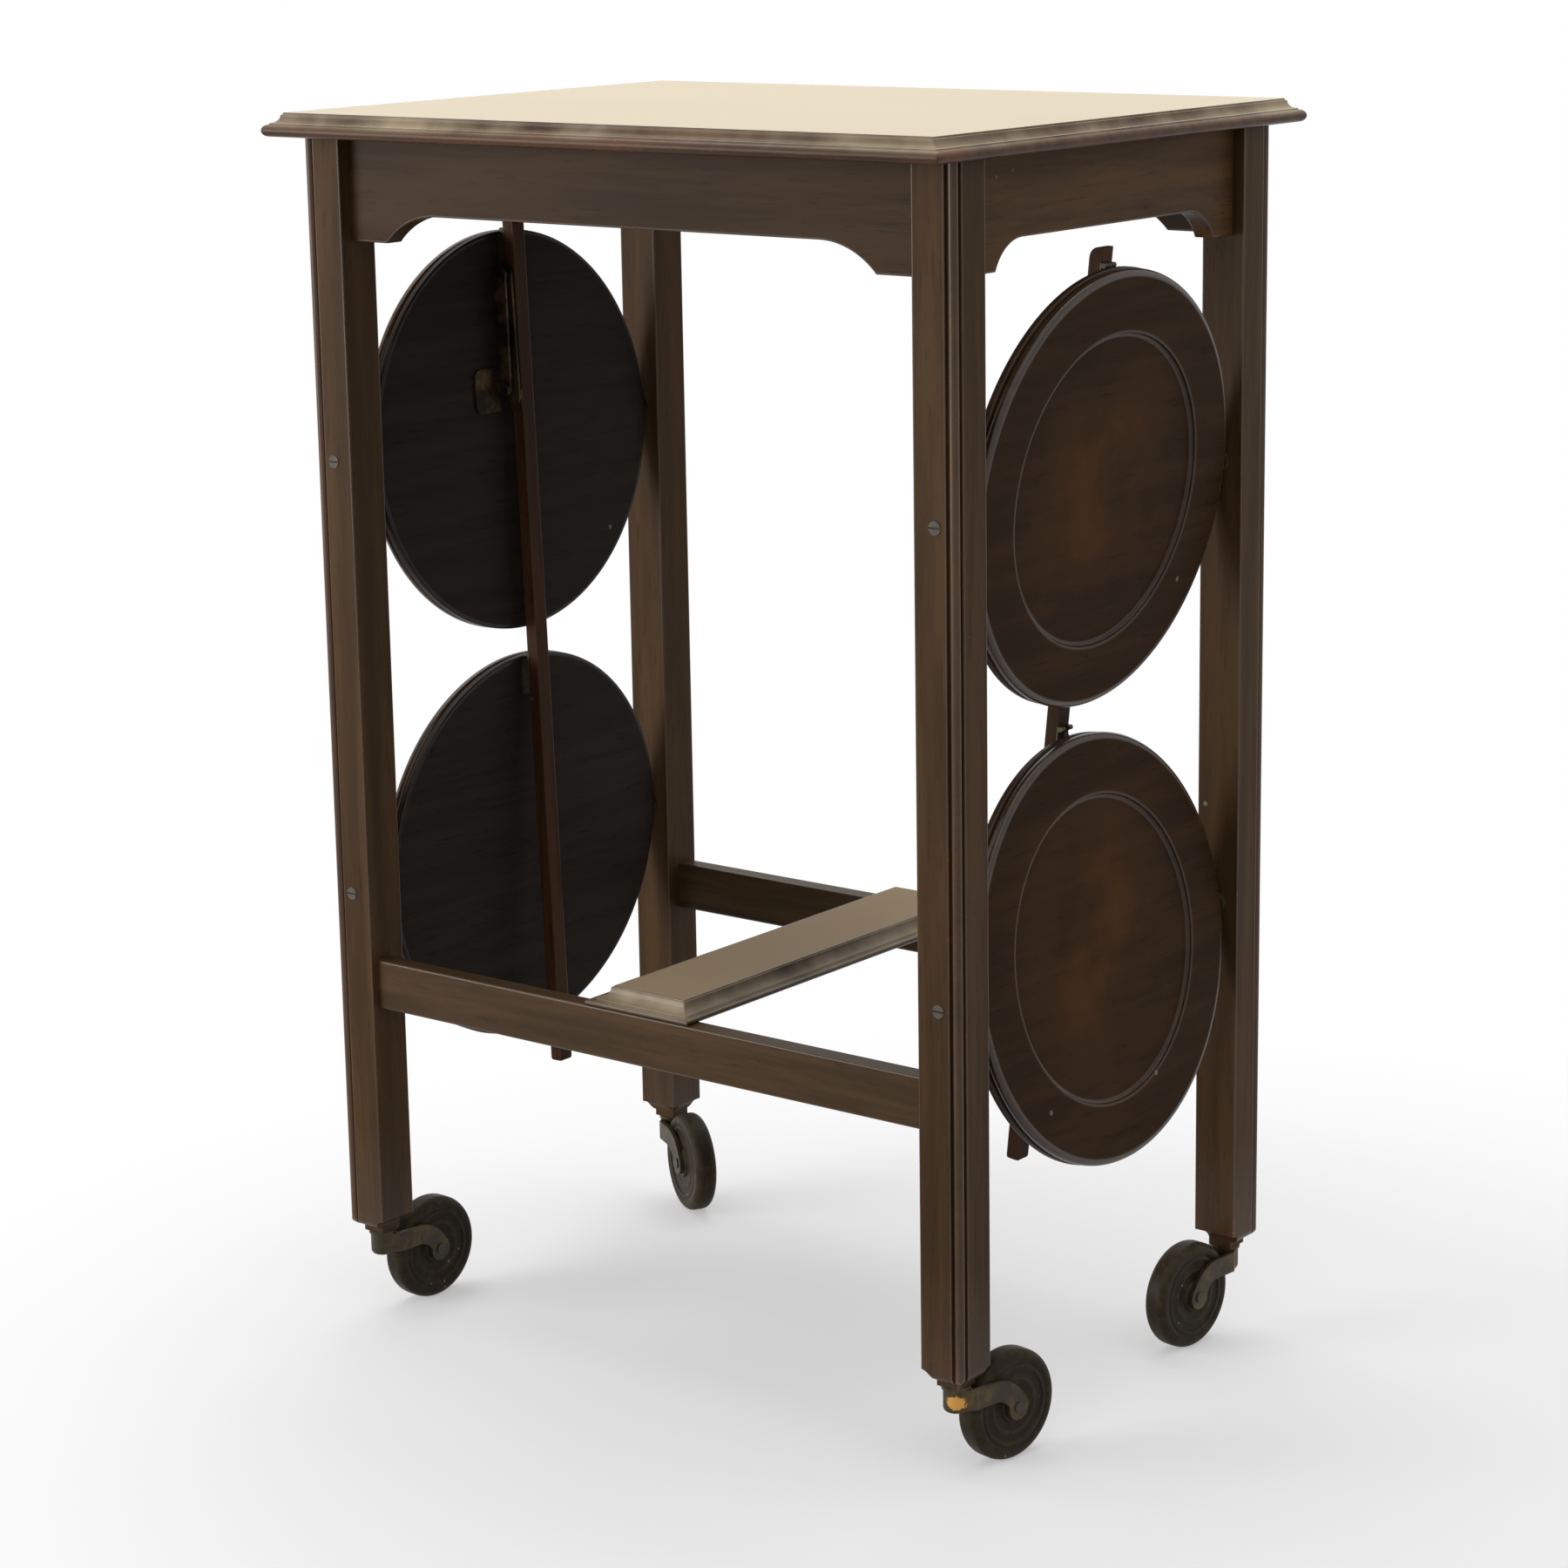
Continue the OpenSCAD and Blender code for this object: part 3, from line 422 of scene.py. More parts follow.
@dataclass(frozen=True)
class WoodFinish:
    """Dark stained wood under varnish. Colours are linear."""

    name: str
    dark: Colour
    light: Colour
    rubbed: Colour = (0.125, 0.050, 0.022)
    bare: Colour = (0.42, 0.25, 0.13)
    # Colour of the painted highlight on mouldings, and of the redder, lighter middle of the trays' dishes.
    highlight_and_tint_colour: Colour = (0.062, 0.026, 0.0085)
    along: Axis = Axis.Z
    roughness: float = 0.40
    specular: float = 0.06
    wear: float = 0.5
    coat: float = 0.7
    speck_share: float = 0.004
    # Painted reflection: the pale colour that the surface turns to where it is seen at a low angle, across the
    # span of facing given in grazing.
    sheen_at_grazing: Colour | None = None
    grazing: tuple[float, float] = (0.72, 0.90)

    def build(self, effects: Effects) -> bpy.types.Material:
        """Makes the material.

        Args:
            effects: the shared node groups.

        Returns:
            The material.
        """
        material, s, shader = new_material(self.name)
        cross, lengthwise = 34.0, 2.6
        scale = tuple(lengthwise if axis is self.along else cross for axis in Axis)
        grain = s.node("ShaderNodeGroup", node_tree=effects.grain)
        s.tree.links.new(s.stretched(scale), grain.inputs["Vector"])
        place = s.stretched((1.0, 1.0, 1.0))
        worn = s.mark("wear")
        glow = s.mark("glow")
        wear = s.node("ShaderNodeGroup", node_tree=effects.wear)
        s.feed(wear, Vector=place, Wear=worn)
        wear.inputs["Amount"].default_value = self.wear
        speck_inputs = {"Vector": place, "Scale": 120.0, "Share": self.speck_share}
        specks = s.node("ShaderNodeGroup", speck_inputs, node_tree=effects.specks)
        colour = s.blend(grain.outputs["Figure"], self.dark, self.light)
        shaded = s.blend(1.0, colour, (0.85, 0.85, 0.86), "MULTIPLY")
        colour = s.blend(grain.outputs["Cloud"], shaded, colour)
        pored = s.blend(1.0, colour, (0.55, 0.5, 0.46), "MULTIPLY")
        colour = s.blend(s.math("MULTIPLY", grain.outputs["Pores"], 0.7), colour, pored)
        # Painted highlight on the upper part of mouldings, and a redder, lighter tint in the middle of the
        # trays' dishes, broken up by noise.
        broken = s.ramp(s.noise(place, 9.0, 4.0, 0.6), 0.30, 0.72)
        colour = s.blend(s.math("MULTIPLY", glow, broken), colour, self.highlight_and_tint_colour)
        colour = s.blend(s.math("MULTIPLY", wear.outputs["Rubbed"], 0.6), colour, self.rubbed)
        colour = s.blend(s.math("MULTIPLY", wear.outputs["Bare"], 0.55), colour, self.bare)
        colour = s.blend(s.math("MULTIPLY", specks.outputs["Mask"], 0.45), colour, (0.42, 0.37, 0.30))
        roughness = s.math("ADD", self.roughness, s.math("MULTIPLY", grain.outputs["Cloud"], 0.06))
        roughness = s.math("ADD", roughness, s.math("MULTIPLY", wear.outputs["Rubbed"], 0.12), clamp=True)
        # Painted reflection: at low angles of view, away from worn edges, the colour turns to the pale reflected
        # colour and the surface gets rougher.
        if self.sheen_at_grazing:
            facing = s.node("ShaderNodeLayerWeight", {"Blend": 0.5}).outputs["Facing"]
            flat = s.math("SUBTRACT", 1.0, s.math("MULTIPLY", worn, 4.0, clamp=True))
            low_view = s.math("MULTIPLY", s.ramp(facing, *self.grazing), flat)
            colour = s.blend(low_view, colour, self.sheen_at_grazing)
            roughness = s.math("ADD", roughness, s.math("MULTIPLY", low_view, 0.4), clamp=True)
        height = s.math("MULTIPLY", grain.outputs["Pores"], -0.6)
        bump = s.node("ShaderNodeBump", {"Strength": 0.10, "Distance": 0.0002, "Height": height}).outputs[0]
        varnish = s.math("MULTIPLY", worn, self.coat, clamp=True)
        s.feed(shader, Base_Color=colour, Roughness=roughness, Normal=bump, Coat_Weight=varnish)
        shader.inputs["Specular IOR Level"].default_value = self.specular
        shader.inputs["Coat Roughness"].default_value = 0.22
        return material


@dataclass(frozen=True)
class MetalFinish:
    """Old metal: bare colour on the high spots, tarnish elsewhere. Colours are linear."""

    name: str
    bright: Colour
    tarnish: Colour
    roughness: float = 0.38
    metallic: float = 0.85
    shine: float = 0.35
    specular: float = 0.4
    patch_at: tuple[float, float, float] | None = None
    patch_radius: float = 6.5 * MM
    patch: Colour = (0.72, 0.36, 0.075)

    def build(self, effects: Effects) -> bpy.types.Material:
        """Makes the material.

        Args:
            effects: the shared node groups.

        Returns:
            The material.
        """
        material, s, shader = new_material(self.name)
        place = s.stretched((1.0, 1.0, 1.0))
        worn = s.mark("wear")
        wear = s.node("ShaderNodeGroup", {"Vector": place, "Wear": worn, "Amount": 0.9}, node_tree=effects.wear)
        cloud = s.ramp(s.noise(place, 60.0, 5.0, 0.65), 0.42, 0.70)
        fine = s.noise(place, 420.0, 3.0, 0.6)
        clear = s.math("MULTIPLY", cloud, self.shine)
        clear = s.math("MAXIMUM", clear, s.math("MULTIPLY", wear.outputs["Rubbed"], 0.8))
        colour = s.blend(clear, self.tarnish, self.bright)
        colour = s.blend(s.math("MULTIPLY", s.ramp(fine, 0.55, 0.7), 0.35), colour, self.tarnish)
        if self.patch_at:
            apart = s.vector("SUBTRACT", place, self.patch_at).outputs[0]
            apart = s.vector("MULTIPLY", apart, (1.0, 1.0, 1.5)).outputs[0]
            away = s.vector("LENGTH", apart).outputs["Value"]
            uneven = s.math("SUBTRACT", s.noise(place, 420.0, 4.0, 0.7), 0.5)
            ragged = s.math("ADD", away, s.math("MULTIPLY", uneven, 9 * MM))
            inside = s.math("SUBTRACT", 1.0, s.ramp(ragged, self.patch_radius - 1 * MM, self.patch_radius))
            colour = s.blend(inside, colour, self.patch)
        roughness = s.math("ADD", self.roughness, s.math("MULTIPLY", fine, 0.22), clamp=True)
        metal = s.math("ADD", 0.3, s.math("MULTIPLY", clear, self.metallic - 0.3), clamp=True)
        bump = s.node("ShaderNodeBump", {"Strength": 0.25, "Distance": 0.0003, "Height": cloud}).outputs[0]
        s.feed(shader, Base_Color=colour, Roughness=roughness, Metallic=metal, Normal=bump)
        shader.inputs["Specular IOR Level"].default_value = self.specular
        return material


@dataclass(frozen=True)
class RubberFinish:
    """Hard worn rubber with dust in its rings. Colours are linear."""

    name: str
    dark: Colour = (0.0270, 0.0200, 0.0120)
    dusty: Colour = (0.080, 0.063, 0.036)
    roughness: float = 0.40

    def build(self, effects: Effects) -> bpy.types.Material:
        """Makes the material.

        Args:
            effects: the shared node groups.

        Returns:
            The material.
        """
        material, s, shader = new_material(self.name)
        place = s.stretched((1.0, 1.0, 1.0))
        worn = s.mark("wear")
        wear = s.node("ShaderNodeGroup", {"Vector": place, "Wear": worn, "Amount": 0.8}, node_tree=effects.wear)
        speck_inputs = {"Vector": place, "Scale": 260.0, "Share": 0.035}
        specks = s.node("ShaderNodeGroup", speck_inputs, node_tree=effects.specks)
        dust = s.ramp(s.noise(place, 75.0, 5.0, 0.7), 0.46, 0.72)
        colour = s.blend(s.math("MULTIPLY", dust, 0.55), self.dark, self.dusty)
        colour = s.blend(s.math("MULTIPLY", wear.outputs["Rubbed"], 0.6), colour, self.dusty)
        colour = s.blend(s.math("MULTIPLY", specks.outputs["Mask"], 0.7), colour, (0.42, 0.40, 0.35))
        roughness = s.math("ADD", self.roughness, s.math("MULTIPLY", dust, 0.2), clamp=True)
        bump = s.node("ShaderNodeBump", {"Strength": 0.15, "Distance": 0.0003, "Height": dust}).outputs[0]
        s.feed(shader, Base_Color=colour, Roughness=roughness, Normal=bump)
        shader.inputs["Specular IOR Level"].default_value = 0.08
        return material


class Finishes:
    """All materials of the trolley, by the name of what they dress."""

    def __init__(self) -> None:
        """Builds each finish once."""
        effects = Effects()
        frame_dark, frame_light = (0.058, 0.0325, 0.0145), (0.094, 0.051, 0.0225)
        apron_dark, apron_light = (0.046, 0.0245, 0.0105), (0.074, 0.0385, 0.0165)
        cross_dark, cross_light = (0.070, 0.0370, 0.0160), (0.122, 0.064, 0.0265)
        rail_dark, rail_light = (0.058, 0.034, 0.0145), (0.096, 0.054, 0.024)
        tray_dark, tray_light = (0.036, 0.0195, 0.0098), (0.053, 0.0275, 0.0130)
        black_dark, black_light = (0.0220, 0.0172, 0.0135), (0.0310, 0.0246, 0.0192)
        woods = {
            "leg": WoodFinish("leg_varnish", frame_dark, frame_light, along=Axis.Z),
            "along_x": WoodFinish("apron_varnish", apron_dark, apron_light, along=Axis.X),
            "along_y": WoodFinish("cross_varnish", cross_dark, cross_light, along=Axis.Y),
            "rail": WoodFinish("rail_varnish", rail_dark, rail_light, along=Axis.X, specular=0.1),
            # The plank and the top carry a painted highlight on their mouldings and a painted reflection where
            # seen at a low angle.
            "plank": WoodFinish(
                "plank_varnish", rail_dark, rail_light, highlight_and_tint_colour=(0.42, 0.34, 0.23), along=Axis.Y, specular=0.16,
                roughness=0.30, sheen_at_grazing=(0.36, 0.265, 0.165), grazing=(0.5, 0.72),
            ),
            "top": WoodFinish(
                "top_varnish", (0.055, 0.026, 0.012), (0.115, 0.050, 0.022), (0.20, 0.070, 0.026),
                highlight_and_tint_colour=(0.38, 0.31, 0.20), along=Axis.X, roughness=0.26, specular=0.12, wear=0.35, coat=0.12,
                sheen_at_grazing=(0.66, 0.575, 0.44),
            ),
            # The tray's tint colour makes the middle of each dish redder and lighter.
            "tray": WoodFinish(
                "tray_varnish", tray_dark, tray_light, highlight_and_tint_colour=(0.115, 0.050, 0.0165), along=Axis.Y, specular=0.02,
                wear=0.3, coat=1.0,
            ),
            "tray_back": WoodFinish(
                "tray_back_stain", black_dark, black_light, along=Axis.Y, roughness=0.5, specular=0.04, wear=0.1,
                speck_share=0.002,
            ),
            "bar": WoodFinish(
                "bar_stain", (0.040, 0.0175, 0.0080), (0.072, 0.032, 0.014), roughness=0.45, wear=0.2, coat=0.2
            ),
            "block": WoodFinish(
                "block_wood", (0.12, 0.07, 0.035), (0.20, 0.12, 0.065), along=Axis.X, roughness=0.7, wear=0.1
            ),
        }
        self.materials = {key: finish.build(effects) for key, finish in woods.items()}
        bright, tarnish = (0.26, 0.17, 0.060), (0.034, 0.026, 0.012)
        self.materials["brass"] = MetalFinish("old_brass", bright, tarnish).build(effects)
        bare = MetalFinish("chipped_brass", bright, tarnish, patch_at=(0.2304, -0.1507, -0.7155))
        self.materials["chipped"] = bare.build(effects)
        black, black_edge = (0.014, 0.011, 0.0075), (0.26, 0.155, 0.055)
        stay = MetalFinish("blackened_brass", black_edge, black, shine=0.3, specular=0.06)
        self.materials["stay"] = stay.build(effects)
        steel = MetalFinish("dull_steel", (0.16, 0.14, 0.11), (0.040, 0.034, 0.026), shine=0.4)
        self.materials["steel"] = steel.build(effects)
        self.materials["rubber"] = RubberFinish("wheel_rubber").build(effects)

    def __getitem__(self, key: str) -> bpy.types.Material:
        """The material of that name."""
        return self.materials[key]

    def dress(self, node: bpy.types.Object, key: str) -> None:
        """Gives a solid of the frame a finish in each of its material slots."""
        for slot in node.material_slots:
            slot.material = self.materials[key]
        if not node.material_slots:
            node.data.materials.append(self.materials[key])


@dataclass
class MouldedBoard:
    """A board whose edge has, from the top, a fillet, a cove, a step and a half-round nose."""

    node: str
    title: str
    finish: str
    slot: str
    mould: float
    fillet: float
    cove: float
    step: float
    ledge: float = 1.0 * MM
    arris: float = 0.35 * MM

    def profile(self, thickness: float) -> Array:
        """Inset from the nose, depth below the top face, wear and painted highlight, from the top to the
        underside.
        """
        nose = (thickness - self.fillet - self.cove - self.step) / 2
        cove_at = self.mould - self.ledge - self.cove
        shoulder = self.fillet + self.cove + self.step
        a = self.arris
        flat = [(self.mould + 24 * MM, 0, 0, 0), (self.mould + 3 * a, 0, 0, 0)]
        # The last value of each point is its share of painted highlight: full on the fillet and cove, a little
        # less on the step and ledge, less again on the top arris.
        edge = [(*p, 0.9, 0.6) for p in arc((self.mould + a, a), a, -90, -180, 4)]
        fillet = [(self.mould, self.fillet - a / 2, 0.1, 1)]
        fillet += [(self.mould - self.ledge + a, self.fillet, 0.2, 1)]
        cove = [(*p, 0.1, 1) for p in arc((cove_at, self.fillet), self.cove, 0, 90, 10)]
        step = [(cove_at, shoulder - a, 0.7, 0.8), (cove_at - a, shoulder, 0.7, 0.8)]
        ledge = [(nose + 0.3 * (cove_at - nose), shoulder, 0.3, 0.8)] if cove_at - nose > 4 * a else []
        turned = arc((nose, thickness - nose), nose, -90, -270, 13)
        # On the nose the painted highlight fades from its top to none on its underside.
        fading = np.clip(np.linspace(0.9, -0.9, 13), 0, 1)
        round_nose = [(*p, 0.55, glow) for p, glow in zip(turned, fading)]
        under = [(nose + 2 * a, thickness, 0, 0), (self.mould + 24 * MM, thickness, 0, 0)]
        return np.array(flat + edge + fillet + cove + step + ledge + round_nose + under)

    def build(self, finishes: Finishes) -> None:
        """Adds the board: rectangles of half size minus the inset, at each depth of the profile."""
        low, high = (np.array(v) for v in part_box(self.node))
        centre, half = (low + high) / 2, (high - low) / 2
        inset, depth, worn, glow = self.profile(high[2] - low[2]).T
        points, corner = rounded_rectangle(half[0] - inset, half[1] - inset, 0.7 * MM, 1.2 * MM, 4)
        z = np.broadcast_to((high[2] - depth)[:, None], points.shape[:2])
        rings = np.stack([centre[0] + points[..., 0], centre[1] + points[..., 1], z], -1)
        wear = worn[:, None] * (0.75 + 0.35 * corner)
        shell = Shell(rings, wear, glow[:, None])
        add_piece(self.title, [shell], "frame", [finishes[self.finish]], (self.node,))


@dataclass
class Leg:
    """A square leg with a quirked bead along its outer corner and a narrowed foot."""

    name: str
    side_x: int
    side_y: int
    rebate: float = 6.8 * MM
    bead: float = 2.8 * MM
    quirk: float = 2.4 * MM
    arris: float = 0.6 * MM
    foot: float = 6.5 * MM
    neck: float = 4 * MM

    def section(self, half: float) -> tuple[Array, Array]:
        """Outline of the leg with its bead towards +x and +y, and the share of wear along it."""
        a, inner = self.arris, half - self.rebate
        flat = 0.6 * MM
        bead_centre = (half - self.bead, half - self.bead)
        right = [(half, -half + a + flat), (half, 0), (half, inner - a - flat)]
        lip = arc((half - a, inner - a), a, 0, 90, 4)
        groove = [(half - self.quirk, inner)]
        bead = arc(bead_centre, self.bead, -105, 195, 19)
        groove_back = [(inner, half - self.quirk)]
        lip_back = arc((inner - a, half - a), a, 0, 90, 4)
        back = [(inner - a - flat, half), (0, half), (-half + a + flat, half)]
        corner = arc((-half + a, half - a), a, 90, 180, 5)
        left = [(-half, half - a - flat), (-half, 0), (-half, -half + a + flat)]
        corner_low = arc((-half + a, -half + a), a, 180, 270, 5)
        front = [(-half + a + flat, -half), (0, -half), (half - a - flat, -half)]
        corner_right = arc((half - a, -half + a), a, 270, 360, 5)
        parts = [
            (right, 0), (lip, 0.8), (groove, 0), (bead, 0.6), (groove_back, 0), (lip_back, 0.8), (back, 0),
            (corner, 0.7), (left, 0), (corner_low, 0.7), (front, 0), (corner_right, 0.8),
        ]
        outline = np.concatenate([np.array(p, float) for p, _ in parts])
        wear = np.concatenate([np.full(len(p), w) for p, w in parts])
        return outline, wear

    def build(self, finishes: Finishes) -> None:
        """Adds the leg: its outline at each height, held inside the foot's coves and rounds."""
        node = f"leg_{self.name}"
        low, high = (np.array(v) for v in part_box(node))
        centre, half = (low + high) / 2, (high[0] - low[0]) / 2
        outline, worn = self.section(half)
        turn = np.radians(np.linspace(0, 90, 9))
        rise = self.foot * np.concatenate([np.sin(turn), 1 - np.cos(turn)])
        rise = np.unique(np.round(rise, 6))
        cove = np.sqrt(np.maximum(self.foot**2 - rise**2, 0))
        round_off = self.foot - np.sqrt(self.foot**2 - (self.foot - rise) ** 2)
        below = np.array([0, 0.5, 1]) * self.neck
        body = np.linspace(self.foot * 1.1, high[2] - low[2] - self.neck, 12)
        rise = np.concatenate([below[:-1] - self.neck, rise, body]) + self.neck
        cove = np.concatenate([[self.foot] * 2, cove, np.zeros(len(body))])[:, None]
        round_off = np.concatenate([[self.foot] * 2, round_off, np.zeros(len(body))])[:, None]
        x = np.clip(outline[:, 0][None], -half + cove, half - round_off)
        y = np.clip(outline[:, 1][None], -half + cove, half - round_off)
        z = np.broadcast_to((low[2] + rise)[:, None], x.shape)
        rings = np.stack([centre[0] + self.side_x * x, centre[1] + self.side_y * y, z], -1)
        from_foot = rise[:, None] - self.neck - self.foot
        wear = np.broadcast_to(worn, x.shape) + 0.4 * np.exp(-((from_foot / (8 * MM)) ** 2))
        shell = Shell(rings, wear)
        add_piece(f"beaded_leg_{self.name}", [shell], "frame", [finishes["leg"]], (node,))


@dataclass
class Apron:
    """A board under the top whose lower edge curves down into a bracket beside each leg."""

    node: str
    along: Axis
    toe: float
    curve: float
    drop: float = 17 * MM
    arris: float = 0.8 * MM

    def build(self, finishes: Finishes, shoulder: float) -> None:
        """Adds the apron: upright rounded rectangles along its length, down to the curved edge.

        Args:
            finishes: the materials.
            shoulder: half the clear length between the legs.
        """
        low, high = (np.array(v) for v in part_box(self.node))
        thick = 1 - self.along.value
        reach = math.sqrt(self.curve**2 - (self.curve - self.drop) ** 2)
        straight = shoulder - self.toe - reach
        bend = straight + self.curve * np.sin(np.linspace(0, math.asin(reach / self.curve), 16))
        toe = np.array([0.15, 0.4, 1.0, 1.6, 3.0]) * MM
        right = np.concatenate([[0, straight / 2], bend, straight + reach + toe, [shoulder]])
        place = np.concatenate([-right[:0:-1], right])
        beyond = np.clip(np.abs(place) - straight, 0, None)
        sag = self.curve - np.sqrt(np.maximum(self.curve**2 - np.minimum(beyond, reach) ** 2, 0))
        sag = np.where(beyond > reach, self.drop, sag)
        bottom = low[2] + self.drop - sag
        half_height = (high[2] - bottom) / 2
        points, worn = rounded_rectangle((high - low)[thick] / 2, half_height, self.arris)
        rings = np.zeros((*points.shape[:2], 3))
        rings[..., self.along.value] = place[:, None]
        rings[..., thick] = (low + high)[thick] / 2 + points[..., 0]
        rings[..., 2] = ((high[2] + bottom) / 2)[:, None] + points[..., 1]
        wear = worn * (points[..., 1] < 0) * 0.7
        key = "along_x" if self.along is Axis.X else "along_y"
        shell = Shell(rings, wear)
        add_piece(f"shaped_{self.node}", [shell], "frame", [finishes[key]], (self.node,))


@dataclass
class Rail:
    """A plain rail between two legs."""

    node: str
    arris: float = 1.0 * MM

    def build(self, finishes: Finishes, shoulder: float) -> None:
        """Adds the rail: one rounded rectangle carried along X.

        Args:
            finishes: the materials.
            shoulder: half the clear length between the legs.
        """
        low, high = (np.array(v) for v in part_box(self.node))
        place = np.linspace(-shoulder, shoulder, 5)
        half = (high - low) / 2
        points, worn = rounded_rectangle(np.full(5, half[1]), half[2], self.arris)
        x = np.broadcast_to(place[:, None], points.shape[:2])
        centre = (low + high) / 2
        rings = np.stack([x, centre[1] + points[..., 0], centre[2] + points[..., 1]], -1)
        shell = Shell(rings, 0.7 * worn)
        add_piece(f"lower_{self.node}", [shell], "frame", [finishes["rail"]], (self.node,))


@dataclass
class Side:
    """What hangs at one end of the trolley: two trays and the bar that links them."""

    name: str
    sign: int
    joints: dict[str, dict[str, Any]]
    tray_r: float = 127 * MM
    tray_t: float = 12 * MM
    dish_r: float = 91 * MM
    dish_depth: float = 3 * MM
    bead: float = 3.4 * MM
    quirk: float = 0.8 * MM
    back_round: float = 1.6 * MM
    bar_w: float = 9 * MM
    bar_t: float = 11 * MM
    bar_gap: float = 1.5 * MM
    bar_head: float = 10 * MM
    bar_down: float = 542.6 * MM
    head_round: float = 6.5 * MM
    leaf: tuple[float, float, float] = (1.2 * MM, 24 * MM, 1.75 * MM)

    def leaning(self, origin: Array, angle: float) -> Callable[[Array], Array]:
        """Puts local points, x outwards and z up, at origin, with the head turned inwards by the angle.

        Args:
            origin: where the local origin goes.
            angle: the tilt in degrees.

        Returns:
            A function that maps arrays of local points.
        """
        c, s = math.cos(math.radians(angle)), math.sin(math.radians(angle))

        def place(points: Array) -> Array:
            """Turns the points about the level axis and moves them."""
            x = self.sign * (points[..., 0] * c - points[..., 2] * s)
            z = points[..., 0] * s + points[..., 2] * c
            return np.stack([origin[0] + x, origin[1] + points[..., 1], origin[2] + z], -1)

        return place

    def tray_profile(self) -> Array:
        """Radius, height and wear of the tray's section, from the dish's middle round the rim to the back."""
        half, r, b = self.tray_t / 2, self.tray_r, self.bead
        cove = 0.8 * self.dish_depth
        floor = half - self.dish_depth
        lip = 0.5 * MM
        flat = [(share * (self.dish_r - cove), floor, 0) for share in (0.02, 0.2, 0.4, 0.6, 0.8)]
        dish = flat + [(self.dish_r - cove - 2 * MM, floor, 0), (self.dish_r - cove - 0.6 * MM, floor, 0)]
        wall = [(*p, 0.4) for p in arc((self.dish_r - cove, floor + cove), cove, -90, 0, 7)]
        arris = [(*p, 0.5) for p in arc((self.dish_r + lip, half - lip), lip, 180, 90, 4)]
        face = [(self.dish_r + 2 * MM, half, 0), ((self.dish_r + r) / 2, half, 0), (r - b - 1.2 * MM, half, 0)]
        bead = [(*p, 0.8) for p in arc((r - b, half - b), b, 90, -80, 12)]
        quirk = [(r - 1.1 * MM, half - 2 * b - 0.2 * MM, 0), (r - 0.5 * MM, half - 2 * b - self.quirk, 0.3)]
        band = [(r, half - 2 * b - self.quirk - 0.5 * MM, 0.4), (r, -half + self.back_round + 0.4 * MM, 0)]
        turn = self.back_round
        back = [(*p, 0.5) for p in arc((r - turn, -half + turn), turn, 0, -90, 6)]
        under = [(r - turn - 1.5 * MM, -half, 0), (r / 2, -half, 0), (2 * MM, -half, 0)]
        return np.array(dish + wall + arris + face + bead + quirk + band + back + under)

    def build_tray(self, level: str, finishes: Finishes) -> None:
        """Adds one tray: its section turned about the tray's own axis."""
        joint = self.joints[f"{level}_tray_hinge_{self.name}"]
        tilt = 90.0 - joint["range_deg"][1]
        profile = self.tray_profile()
        rings = lathe(profile[:, :2], 224, self.leaning(np.array(joint["pos_m"]), tilt))
        # Tint that makes the front of the dish redder and lighter towards its middle.
        glow = np.clip(1.15 - profile[:, :1] / self.dish_r, 0, 1) * (profile[:, 1:2] > 0)
        back = int(np.argmax(profile[:, 1] < self.back_round - self.tray_t / 2 + 0.5 * MM))
        shell = Shell(rings, profile[:, 2:], glow, back)
        add_piece(
            f"dished_tray_{level}_{self.name}", [shell], f"{level}_tray_{self.name}",
            [finishes["tray"], finishes["tray_back"]], (f"tray_{level}_{self.name}",),
        )

    def build_bar(self, finishes: Finishes) -> None:
        """Adds the bar: rounded rectangles along it, narrower at the rounded head and at the two leaves."""
        hinge = self.joints[f"bar_hinge_{self.name}"]
        drive = self.joints[f"upper_tray_hinge_{self.name}"]["range_deg"][1]
        levels = (self.joints[f"{level}_tray_hinge_{self.name}"]["pos_m"][2] for level in ("upper", "lower"))
        pitch = abs(next(levels) - next(levels))
        lean = drive + hinge["range_deg"][0]
        leaf_t, leaf_l, leaf_up = self.leaf
        step = 0.02 * MM
        recess = [z + d for z in (0, -pitch) for d in (leaf_up + step, leaf_up, -leaf_l, -leaf_l - step)]
        head = self.bar_head - self.head_round * (1 - np.sin(np.radians(np.linspace(0, 90, 9))))
        foot = -self.bar_down + np.array([0, 0.3, 0.9, 2.0]) * MM
        z = np.unique(np.concatenate([head, foot, recess, np.linspace(-0.5, -0.04, 9)]))
        outer = np.full(len(z), -self.bar_gap)
        for base in (0.0, -pitch):
            outer[(z <= base + leaf_up) & (z >= base - leaf_l)] = -self.bar_gap - leaf_t
        inner = np.full(len(z), -self.bar_gap - self.bar_w)
        over = np.clip(z - (self.bar_head - self.head_round), 0, self.head_round)
        inner += self.head_round - np.sqrt(self.head_round**2 - over**2)
        under = np.clip(-self.bar_down + 2 * MM - z, 0, 2 * MM)
        drawn = 2 * MM - np.sqrt((2 * MM) ** 2 - under**2)
        points, worn = rounded_rectangle((outer - inner) / 2 - drawn / 2, self.bar_t / 2 - drawn / 3, 0.8 * MM)
        local = np.zeros((*points.shape[:2], 3))
        local[..., 0] = ((outer + inner) / 2)[:, None] + points[..., 0]
        local[..., 1] = points[..., 1]
        local[..., 2] = z[:, None]
        rings = self.leaning(np.array(hinge["pos_m"]), -lean)(local)
        add_piece(
            f"link_bar_wood_{self.name}", [Shell(rings, 0.8 * worn)], f"bar_{self.name}", [finishes["bar"]],
            (f"link_bar_{self.name}",),
        )

    def build(self, finishes: Finishes) -> None:
        """Adds both trays and the bar."""
        for level in ("upper", "lower"):
            self.build_tray(level, finishes)
        self.build_bar(finishes)


